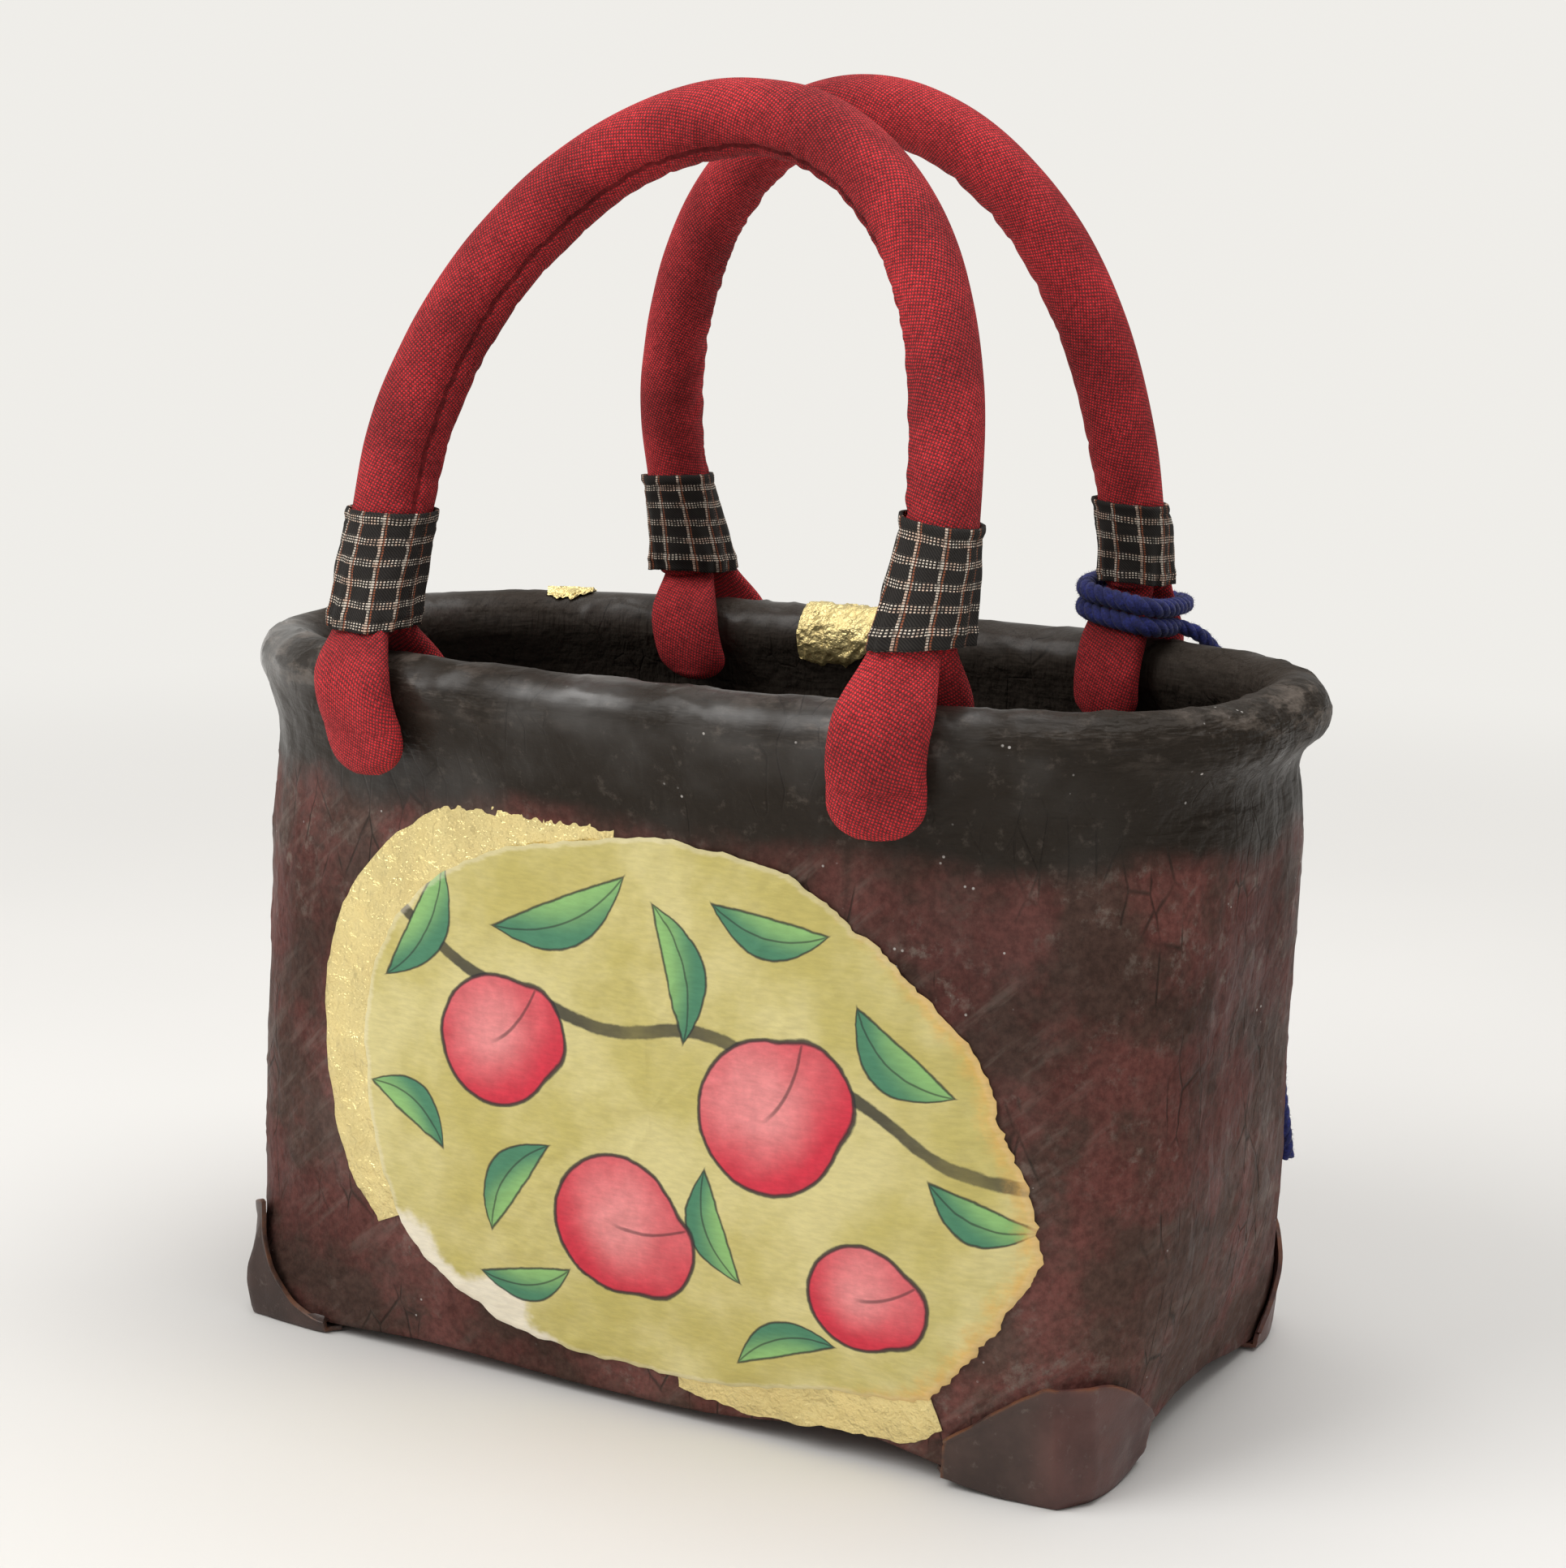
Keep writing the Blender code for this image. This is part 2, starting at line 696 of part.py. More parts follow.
def foot_mesh(end, side, parts, cloth):
    """Flat padding from the cuff down round the hoop, through the wall and back up to the cuff."""
    stations = 16
    section = 10
    half_thickness = foot_half_thickness(end)
    last_turn = math.pi * 0.985
    points = []
    rings = []
    for station in range(stations + 1):
        turn = mix(-last_turn, last_turn, station / stations)
        out, up = foot_outline(end, turn)
        ahead, above = foot_outline(end, turn + 0.02)
        tangent = Vector((0.0, ahead - out, above - up)).normalized()
        normal = Vector((0.0, tangent.z, -tangent.y))
        x = foot_middle(end, HOOP_HEIGHT + up)
        half_width = foot_half_width(end, HOOP_HEIGHT + up)
        ring = []
        for corner in range(section):
            angle = 2 * math.pi * corner / section
            wide = math.copysign(abs(math.cos(angle)) ** 0.75, math.cos(angle)) * half_width
            thick = math.copysign(abs(math.sin(angle)) ** 0.85, math.sin(angle)) * half_thickness
            ring.append(len(points))
            points.append(
                Vector((x + wide, side * hoop_depth(x + wide), HOOP_HEIGHT))
                + Vector((0.0, side * (out + normal.y * thick), up + normal.z * thick))
            )
        rings.append(ring)
    faces = bridge(rings) + [tuple(rings[0]), tuple(rings[-1])]
    return mesh_object(f"{end[0]}_foot", points, faces, parts, cloth)


def tube_mesh(name, route, bulks, radius, parts, material, steps=2, resolution=2):
    """Round tube along a smooth route, made a closed mesh."""
    path = smooth_path(route, steps)
    curve = bpy.data.curves.new(name, "CURVE")
    curve.dimensions = "3D"
    curve.bevel_depth = radius
    curve.bevel_resolution = resolution
    curve.use_fill_caps = True
    spline = curve.splines.new("POLY")
    spline.points.add(len(path) - 1)
    for index, (point, place) in enumerate(zip(spline.points, path)):
        share = index / steps
        low = min(int(share), len(bulks) - 1)
        high = min(low + 1, len(bulks) - 1)
        point.co = (*place, 1.0)
        point.radius = mix(bulks[low], bulks[high], share - low)
    curve.materials.append(material)
    guide = bpy.data.objects.new(f"{name}_guide", curve)
    parts.objects.link(guide)
    depsgraph = bpy.context.evaluated_depsgraph_get()
    mesh = bpy.data.meshes.new_from_object(guide.evaluated_get(depsgraph))
    shape = bmesh.new()
    shape.from_mesh(mesh)
    bmesh.ops.remove_doubles(shape, verts=shape.verts, dist=0.00001)
    bmesh.ops.recalc_face_normals(shape, faces=shape.faces)
    shape.to_mesh(mesh)
    shape.free()
    mesh.shade_smooth()
    mesh.name = name
    tube = bpy.data.objects.new(name, mesh)
    tube.matrix_world = guide.matrix_world
    parts.objects.link(tube)
    bpy.data.objects.remove(guide, do_unlink=True)
    return tube


def make_handle(handle, parts, cutters, cloth):
    """Padded tube with a foot at each end, joined into one body."""
    name, side, _, _, _, _, _ = handle
    route, bulks = handle_path(handle)
    tube = tube_mesh(name, route, bulks, HANDLE_RADIUS, parts, cloth)
    for end in end_rows(name):
        foot = foot_mesh(end, side, cutters, cloth)
        foot.hide_render = True
        foot.display_type = "WIRE"
        join = tube.modifiers.new("foot", "BOOLEAN")
        join.operation = "UNION"
        join.solver = "EXACT"
        join.object = foot
    return tube


def foot_reach(end, height):
    """Distance of a foot's outer face from the hoop's centre line at a height and above it."""
    half_thickness = foot_half_thickness(end)
    reach = 0.0
    samples = 60
    for sample in range(samples):
        turn = math.pi * (sample + 0.5) / samples
        out, up = foot_outline(end, turn)
        ahead, above = foot_outline(end, turn + 0.02)
        tangent = Vector((ahead - out, above - up)).normalized()
        if HOOP_HEIGHT + up - tangent.x * half_thickness > height - FOOT_GAP:
            reach = max(reach, out + tangent.y * half_thickness)
    return reach


def make_cuff(end, parts, plaid):
    """Plaid sleeve over the end of a handle and the top of its foot."""
    name, handle_name, _, _, _, _, bulk, _, _ = end
    handle = handle_row(handle_name)
    side = handle[1]
    low, high = cuff_heights(end)
    route, _ = handle_path(handle)
    route = route if end[2] < 0 else route[::-1]
    path = smooth_path(route[:5], 8)
    around = 16
    stations = 5
    tube_radius = HANDLE_RADIUS * bulk * TUCK_SHARE
    tube_reach = tube_radius / math.cos(math.radians(handle[2]))
    points = []
    rings = []
    levels = [(step / (stations - 1), 1) for step in range(stations)]
    levels += [(step / (stations - 1), 0) for step in reversed(range(stations))]
    for share, outer in levels:
        height = mix(low + SEAT_GAP, high, share)
        centre = min(path, key=lambda point: abs(point.z - height))
        reach = foot_reach(end, max(low - CUFF_GAP, height - (high - low) / (stations - 1)))
        tube_depth = side * centre.y
        foot_x = foot_middle(end, height)
        foot_width = foot_half_width(end, height) * min(1.0, 2 * (1 - share))
        foot_depth = hoop_depth(foot_x)
        left = min(centre.x - tube_radius, foot_x - foot_width) - CUFF_GAP
        right = max(centre.x + tube_radius, foot_x + foot_width) + CUFF_GAP
        grow = CUFF_THICKNESS * outer
        round_off = mix(0.62, 0.9, share)
        ring = []
        for corner in range(around):
            angle = 2 * math.pi * corner / around
            wide = math.copysign(abs(math.cos(angle)) ** round_off, math.cos(angle))
            deep = math.copysign(abs(math.sin(angle)) ** round_off, math.sin(angle))
            x = (left + right) / 2 + wide * ((right - left) / 2 + grow)
            foot_place = mix(hoop_depth(x), foot_depth, share)
            near = min(tube_depth - tube_reach, foot_place - reach) - CUFF_GAP
            far = max(tube_depth + tube_reach, foot_place + reach) + CUFF_GAP
            ring.append(len(points))
            points.append(Vector((
                x,
                side * (far + near) / 2 + deep * ((far - near) / 2 + grow),
                height,
            )))
        rings.append(ring)
    rings.append(rings[0])
    return mesh_object(f"{name}_cuff", points, bridge(rings), parts, plaid)


def yarn_windings_route(end):
    """Course of the yarn round both legs of a handle's foot, under its cuff."""
    side = handle_row(end[1])[1]
    low, _ = cuff_heights(end)
    turns = 1.75
    steps = 26
    pitch = 2 * YARN_RADIUS + 2 * SEAT_GAP
    slant = YARN_RADIUS * 0.5
    middle = low - SEAT_GAP - pitch - slant
    half_width = foot_half_width(end, middle - pitch) + YARN_RADIUS + CUFF_GAP
    half_depth = foot_reach(end, middle - 2 * pitch) + YARN_RADIUS + CUFF_GAP
    centre_x = foot_middle(end, middle)
    route = []
    for step in range(steps + 1):
        turn = turns * step / steps
        angle = 2 * math.pi * turn + math.pi / 2
        wide = math.copysign(abs(math.cos(angle)) ** 0.6, math.cos(angle))
        deep = math.copysign(abs(math.sin(angle)) ** 0.6, math.sin(angle))
        x = centre_x + half_width * wide
        route.append(Vector((
            x,
            side * (hoop_depth(x) + half_depth * deep),
            middle + pitch * (turns / 2 - turn) - wide * slant,
        )))
    return route


def make_yarn(end, parts, yarn):
    """Yarn wound under a cuff, and its loose end hanging down the back corner."""
    windings = yarn_windings_route(end)
    tube_mesh("yarn_tie", windings, [1.0] * len(windings), YARN_RADIUS, parts, yarn, steps=1)
    ahead = (windings[-1] - windings[-2]).normalized()
    loose = [windings[-1] + ahead * reach for reach in (YARN_JOIN_GAP, YARN_RADIUS)]
    loose += [Vector(point) for point in YARN_TAIL_ROUTE]
    tube_mesh("yarn_tail", loose, [0.8] * len(loose), YARN_RADIUS, parts, yarn, steps=1)


def grid_faces(rows):
    """Faces over a grid of points, row by row."""
    width = len(rows[0])
    faces = []
    for row in range(len(rows) - 1):
        for column in range(width - 1):
            start = row * width + column
            faces.append((start, start + 1, start + width + 1, start + width))
    return faces


def panel_place(across, up, offset):
    """Point over the front wall at a place of the panel's own frame."""
    return front_point(
        PANEL_CENTRE_X + across * PANEL_HALF_WIDTH,
        PANEL_CENTRE_HEIGHT + up * PANEL_HALF_HEIGHT,
        offset,
    )


def make_panel(parts, paper):
    """Torn painted paper on the front, a sheet of rings from its middle to its outline."""
    outline = [Vector(point) for point in PANEL_OUTLINE]
    shares = (0.22, 0.42, 0.62, 0.82, 1.0)
    points = [panel_place(0.0, 0.0, PANEL_GAP)]
    rings = []
    for share in shares:
        rings.append(list(range(len(points), len(points) + len(outline))))
        points += [panel_place(place.x * share, place.y * share, PANEL_GAP) for place in outline]
    faces = bridge(rings, closed_end=0)
    return skin_object("front_panel", points, faces, FRONT, PANEL_THICKNESS, parts, paper)


def make_leaf_band(name, course, parts, gold):
    """Band of gold leaf beside the panel, along a course given in the panel's frame."""
    path = smooth_path([Vector(row) for row in course], 3)
    rows = []
    for index, place in enumerate(path):
        before = path[max(index - 1, 0)]
        after = path[min(index + 1, len(path) - 1)]
        run = Vector((
            (after.x - before.x) * PANEL_HALF_WIDTH,
            (after.y - before.y) * PANEL_HALF_HEIGHT,
        )).normalized()
        half = place.z * LEAF_WIDTH / 2
        row = []
        for edge in (-1.0, 0.0, 1.0):
            across = place.x - run.y * half * edge / PANEL_HALF_WIDTH
            up = place.y + run.x * half * edge / PANEL_HALF_HEIGHT
            row.append(panel_place(across, up, SKIN_GAP))
        rows.append(row)
    points = [point for row in rows for point in row]
    return skin_object(name, points, grid_faces(rows), FRONT, LEAF_THICKNESS, parts, gold)


def make_hoop_leaf(leaf, parts, gold):
    """Patch of gold leaf laid over the back of the hoop."""
    name, left, right, start, stop = leaf
    rows = []
    columns = 5
    steps = 6
    x_middle = (left + right) / 2 * RIM_HALF_WIDTH
    for column in range(columns + 1):
        x = mix(left, right, column / columns) * RIM_HALF_WIDTH
        step_x = 0.0005
        tangent = Vector((2 * step_x, hoop_depth(x + step_x) - hoop_depth(x - step_x))).normalized()
        outward = Vector((-tangent.y, tangent.x, 0.0))
        centre = Vector((x, hoop_depth(x), HOOP_HEIGHT))
        narrow = 1 - 0.2 * abs(mix(-1.0, 1.0, column / columns)) ** 2
        row = []
        for step in range(steps + 1):
            turn = math.radians(mix(start, mix(start, stop, narrow), step / steps))
            reach = HOOP_RADIUS + SKIN_GAP + SEAT_GAP
            row.append(centre + outward * (math.cos(turn) * reach) + Vector((0, 0, math.sin(turn) * reach)))
        rows.append(row)
    points = [point for row in rows for point in row]
    outward = rows[columns // 2][steps // 2] - Vector((x_middle, hoop_depth(x_middle), HOOP_HEIGHT))
    return skin_object(name, points, grid_faces(rows), outward, LEAF_THICKNESS, parts, gold)


def main():
    clear_scene()
    parts = make_collection("lacquered_paper_handbag")
    cutters = make_collection("cutters")
    body_paper = make_material("body_paper", (0.075, 0.040, 0.038), 0.48)
    rim_paper = make_material("rim_paper", (0.020, 0.018, 0.017), 0.45)
    leather = make_material("cap_leather", (0.045, 0.030, 0.026), 0.50)
    cloth = make_material("handle_cloth", (0.300, 0.018, 0.026), 0.85)
    plaid = make_material("cuff_plaid", (0.060, 0.050, 0.040), 0.80)
    yarn = make_material("yarn", (0.015, 0.020, 0.110), 0.95)
    washi = make_material("panel_paper", (0.550, 0.500, 0.230), 0.75)
    gold = make_material("gold_leaf", (0.620, 0.480, 0.160), 0.35, 0.8)

    make_shell(parts, cutters, body_paper)
    make_hoop(parts, rim_paper)
    for front_or_back, side_y in (("front", -1), ("back", 1)):
        for left_or_right, side_x in (("left", -1), ("right", 1)):
            make_cap(f"{front_or_back}_{left_or_right}_cap", side_x, side_y, parts, leather)
    for handle in HANDLES:
        make_handle(handle, parts, cutters, cloth)
    for end in ENDS:
        make_cuff(end, parts, plaid)
    make_yarn(ENDS[-1], parts, yarn)
    make_panel(parts, washi)
    make_leaf_band("gold_crescent", CRESCENT_COURSE, parts, gold)
    make_leaf_band("gold_strip", STRIP_COURSE, parts, gold)
    for leaf in HOOP_LEAVES:
        make_hoop_leaf(leaf, parts, gold)


main()
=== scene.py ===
"""Looks of a lacquered paper handbag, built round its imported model. Metres, +Z up, front at -Y."""
import math
from functools import partialmethod

import bmesh
import bpy
import numpy as np
from bpy.props import FloatProperty, FloatVectorProperty, IntProperty, PointerProperty
from mathutils import Matrix, Vector, noise


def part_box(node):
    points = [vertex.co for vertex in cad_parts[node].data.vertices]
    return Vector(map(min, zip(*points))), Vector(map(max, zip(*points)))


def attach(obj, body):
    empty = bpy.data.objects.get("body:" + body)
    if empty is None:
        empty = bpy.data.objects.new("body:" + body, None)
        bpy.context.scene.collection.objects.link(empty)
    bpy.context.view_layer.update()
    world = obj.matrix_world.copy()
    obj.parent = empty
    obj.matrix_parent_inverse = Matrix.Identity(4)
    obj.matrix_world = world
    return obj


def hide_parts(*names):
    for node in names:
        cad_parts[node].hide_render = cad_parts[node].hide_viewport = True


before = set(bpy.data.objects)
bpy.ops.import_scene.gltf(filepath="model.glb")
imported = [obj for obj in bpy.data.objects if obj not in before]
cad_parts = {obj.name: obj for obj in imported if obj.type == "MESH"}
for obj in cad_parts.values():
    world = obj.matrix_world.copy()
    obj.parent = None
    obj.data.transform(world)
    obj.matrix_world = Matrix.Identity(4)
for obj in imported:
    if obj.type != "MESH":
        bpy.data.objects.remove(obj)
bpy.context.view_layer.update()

bl_info = {
    "name": "Lacquered paper handbag",
    "version": (1, 0, 0),
    "blender": (4, 5, 0),
    "location": "View3D > Sidebar > Handbag",
    "description": "Builds a handbag of lacquered paper with cloth handles round its packed model",
    "category": "Object",
}

BODY = "root"
BODY_LOW, BODY_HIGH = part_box("paper_body")

# The body's sizes, as the solids have them
BASE_HALF_WIDTH = 0.1370
BASE_HALF_DEPTH = 0.0805
RIM_HALF_WIDTH = 0.1500
RIM_HALF_DEPTH = 0.0830
RIM_CREST = 0.2047
RIM_SQUARENESS = 2.8
HOOP_RADIUS = 0.0097
HOOP_HEIGHT = RIM_CREST - HOOP_RADIUS
WALL = 0.0026
WALL_FOOT = BODY_LOW.z
WALL_TOP = BODY_HIGH.z
BELLY = 0.0070
BASE_LIFT = 0.0075
SOLE_REACH = 0.0180
TIP_REACH = 0.0050
TIP_HEIGHT = 0.0110
DENT_REACH = 0.0300
DENT_DEPTH = 0.0030

# rise, share of the way from base size to rim size, share of BELLY, squareness
SECTIONS = (
    (0.00, 0.00, 0.00, 10.0),
    (0.06, 0.05, 0.20, 8.0),
    (0.16, 0.16, 0.50, 5.8),
    (0.32, 0.34, 0.76, 4.3),
    (0.55, 0.62, 0.46, 3.8),
    (0.78, 0.88, 0.22, 3.4),
    (0.92, 1.00, 0.10, 3.0),
    (1.00, 1.00, 0.00, 2.8),
)

# across, along: place on the base's outline from -1 to 1, share of BASE_LIFT
EDGE_LIFTS = (
    (1.00, 0.00, 0.85),
    (1.00, 0.55, 0.60),
    (0.70, 1.00, 0.50),
    (0.00, 1.00, 0.20),
    (-0.70, 1.00, 0.50),
    (-1.00, 0.55, 0.60),
    (-1.00, 0.00, 0.80),
    (-1.00, -0.60, 0.60),
    (-0.74, -1.00, 0.25),
    (0.00, -1.00, 0.10),
    (0.74, -1.00, 0.95),
    (1.00, -0.55, 1.00),
)

# across, along, rise of a dent's middle, shares of DENT_REACH and DENT_DEPTH
DENTS = (
    (0.80, -1.00, 0.62, 1.0, 0.55),
    (0.62, -1.00, 0.16, 0.9, -0.40),
    (-0.45, -1.00, 0.86, 1.1, 0.35),
    (1.00, 0.10, 0.55, 1.3, 0.60),
    (1.00, -0.55, 0.30, 0.9, -0.35),
    (-1.00, 0.20, 0.60, 1.3, 0.50),
    (-1.00, -0.40, 0.30, 1.0, -0.30),
    (0.40, 1.00, 0.50, 1.4, 0.50),
    (-0.35, 1.00, 0.70, 1.1, -0.35),
    (-0.60, 1.00, 0.30, 1.2, 0.40),
)

# Handles, feet and cuffs, as the solids have them
HANDLE_RADIUS = 0.0101
HANDLE_CREST = 0.3510
HANDLE_HALF_SPAN = 0.0815
SPRING_HEIGHT = 0.2450
CUFF_LENGTH = 0.0320
CUFF_GAP = 0.0011
SEAT_GAP = 0.0003
FOOT_HALF_WIDTH = 0.0132
FOOT_HALF_THICKNESS = 0.0047
FOOT_GAP = 0.0008
TOE_DROP = 0.0030
LEG_GAP = 0.0006
LEG_TUCK = 1.3
LEG_PINCH = 4.2
LEG_SQUEEZE = 0.74
FOOT_TOP_SHARE = 0.86
TUCK_SHARE = 0.93

# name: side, lean in degrees, middle and span over HANDLE_HALF_SPAN, crest, skew
HANDLES = {
    "front_handle": (-1, 17.0, -0.035, 1.04, 1.000, 0.11),
    "back_handle": (1, 13.0, 0.035, 0.95, 1.055, 0.00),
}

# handle, x and toe over HANDLE_HALF_SPAN, cuff's low edge and length over CUFF_LENGTH, bulk,
# foot's width and padding
ENDS = {
    "front_left": ("front_handle", -1.07, -0.97, 0.20, 1.00, 1.15, 1.10, 1.10),
    "front_right": ("front_handle", 1.02, 0.97, 0.46, 0.97, 0.98, 0.95, 1.10),
    "back_left": ("back_handle", -0.90, -0.81, 0.28, 0.98, 1.00, 0.98, 0.97),
    "back_right": ("back_handle", 1.00, 0.94, 0.52, 0.76, 1.00, 0.98, 0.97),
}

# Front panel and gold leaf, in shares of the panel's half sizes
PANEL_HALF_WIDTH = 0.1100
PANEL_HALF_HEIGHT = 0.0790
PANEL_X = 0.0120
PANEL_HEIGHT = 0.0890
PANEL_OUTLINE = (
    (-0.245, 0.890),
    (0.000, 0.945),
    (0.140, 0.925),
    (0.300, 0.905),
    (0.430, 0.820),
    (0.560, 0.700),
    (0.700, 0.530),
    (0.830, 0.340),
    (0.900, 0.100),
    (0.965, -0.080),
    (1.000, -0.300),
    (0.960, -0.440),
    (0.880, -0.620),
    (0.780, -0.800),
    (0.730, -0.860),
    (0.420, -0.930),
    (0.130, -0.960),
    (-0.150, -0.960),
    (-0.400, -0.930),
    (-0.580, -0.820),
    (-0.740, -0.640),
    (-0.830, -0.330),
    (-0.880, 0.020),
    (-0.850, 0.330),
    (-0.760, 0.560),
    (-0.600, 0.740),
    (-0.430, 0.840),
)
LEAF_WIDTH = 0.0200
CRESCENT_COURSE = (
    (-0.120, 0.965, 0.30),
    (-0.300, 0.960, 0.75),
    (-0.480, 0.900, 0.95),
    (-0.660, 0.770, 1.10),
    (-0.830, 0.570, 1.15),
    (-0.920, 0.320, 1.05),
    (-0.935, 0.010, 0.95),
    (-0.885, -0.330, 0.85),
    (-0.800, -0.600, 0.45),
)
STRIP_COURSE = (
    (0.060, -0.985, 0.20),
    (0.280, -0.985, 0.75),
    (0.460, -0.975, 1.00),
    (0.640, -0.940, 1.10),
    (0.770, -0.880, 0.60),
)

# The yarn's loose end, as the solids have it
YARN_RADIUS = 0.0026
YARN_TAIL_ROUTE = (
    (0.0993, 0.0805, 0.2062),
    (0.1030, 0.0838, 0.2015),
    (0.1085, 0.0837, 0.1962),
    (0.1207, 0.0780, 0.1935),
    (0.1315, 0.0715, 0.1925),
    (0.1340, 0.0690, 0.1870),
    (0.1342, 0.0668, 0.1800),
    (0.1341, 0.0654, 0.1700),
    (0.1343, 0.0651, 0.1500),
    (0.1347, 0.0668, 0.1250),
    (0.1340, 0.0688, 0.1000),
    (0.1346, 0.0696, 0.0780),
    (0.1372, 0.0681, 0.0655),
    (0.1390, 0.0677, 0.0545),
)

# Photograph's view of the bag
CAMERA_PLACE = (0.389, -0.709, 0.320)
CAMERA_YAW = -28.54
CAMERA_PITCH = -10.98
CAMERA_ROLL = 1.04
CAMERA_LENS = 64.81
CAMERA_SENSOR = 36.0
CAMERA_NEAR = 0.05


def colour_property(name, text, default):
    return FloatVectorProperty(
        name=name, description=text, default=default, size=3, subtype="COLOR", min=0.0, max=1.0
    )


def length_property(name, text, default):
    return FloatProperty(
        name=name, description=text, default=default, min=0.0, subtype="DISTANCE", unit="LENGTH"
    )


class HandbagSizes(bpy.types.PropertyGroup):
    """Sizes of the finish that a user may change."""

    collar_depth: length_property("Collar depth", "Height of the black paper below the rim's crest", 0.040)
    fold_depth: length_property("Fold depth", "Height of the folds in the lacquered paper", 0.0007)
    cap_thickness: length_property("Cap thickness", "Thickness of the corner caps", 0.0013)
    cap_height: length_property("Cap height", "Height of the corner caps on the walls", 0.0350)
    cap_span: length_property("Cap span", "Width of a corner cap along each wall", 0.0430)
    thread_pitch: length_property("Thread pitch", "Distance between the handles' threads", 0.00062)
    check_pitch: length_property("Check pitch", "Height of one band of the cuffs' checks", 0.0056)
    cuff_thickness: length_property("Cuff thickness", "Thickness of the cuffs' cloth", 0.0011)
    panel_thickness: length_property("Panel thickness", "Thickness of the painted paper", 0.0005)
    ply_pitch: length_property("Ply pitch", "Length of yarn over which its plies turn once", 0.0100)
    ply_count: IntProperty(name="Plies", description="Number of plies in the yarn", default=3, min=2, max=6)


class HandbagColours(bpy.types.PropertyGroup):
    """Colours of the finish that a user may change."""

    black: colour_property("Black lacquer", "Collar, rim and inside", (0.028, 0.022, 0.017))
    maroon: colour_property("Maroon lacquer", "Redder parts of the wall", (0.128, 0.047, 0.040))
    brown: colour_property("Brown lacquer", "Browner parts of the wall", (0.076, 0.043, 0.034))
    # The scuff colour serves real rubbed and dry-brushed wear, and also painted highlight on the roll and
    # painted light inside the bag
    scuff_and_painted_light: colour_property("Scuffs", "Rubbed and dry-brushed ridges", (0.225, 0.185, 0.155))
    leather: colour_property("Leather", "Corner caps", (0.056, 0.032, 0.026))
    cut_edge: colour_property("Cut edge", "Rusty edge of the corner caps", (0.220, 0.075, 0.025))
    red: colour_property("Red thread", "Crimson thread of the handles", (0.660, 0.030, 0.037))
    dark_thread: colour_property("Dark thread", "Dark thread of the handles", (0.095, 0.028, 0.030))
    cuff_black: colour_property("Cuff ground", "Black ground of the cuffs", (0.020, 0.017, 0.015))
    cuff_cream: colour_property("Cream thread", "Light dots of the cuffs", (0.860, 0.760, 0.640))
    cuff_peach: colour_property("Peach thread", "Warmer dots of the cuffs", (0.800, 0.480, 0.330))
    cuff_rust: colour_property("Rust thread", "Coloured lines of the cuffs", (0.360, 0.110, 0.050))
    navy: colour_property("Navy yarn", "Yarn under the back right cuff", (0.012, 0.017, 0.115))
    olive: colour_property("Olive wash", "Painted ground of the panel", (0.575, 0.490, 0.150))
    pale_olive: colour_property("Pale wash", "Lighter ground of the panel", (0.730, 0.640, 0.290))
    cream: colour_property("Bare paper", "Unpainted paper of the panel", (0.920, 0.840, 0.670))
    stain: colour_property("Stain", "Brown stain along the torn edge", (0.800, 0.470, 0.120))
    gold: colour_property("Gold leaf", "Gold leaf", (0.900, 0.745, 0.345))
    fruit_red: colour_property("Fruit red", "Deep wash of the painted fruit", (0.680, 0.030, 0.060))
    fruit_pink: colour_property("Fruit pink", "Thin wash of the painted fruit", (0.870, 0.300, 0.300))
    leaf_green: colour_property("Leaf green", "Light wash of the painted leaves", (0.300, 0.560, 0.190))
    leaf_blue: colour_property("Leaf blue", "Deep wash of the painted leaves", (0.075, 0.250, 0.140))
    ink: colour_property("Ink", "Brush lines of the painting", (0.022, 0.022, 0.024))
    floor: colour_property("Floor", "Pale floor of the stage", (0.780, 0.768, 0.748))


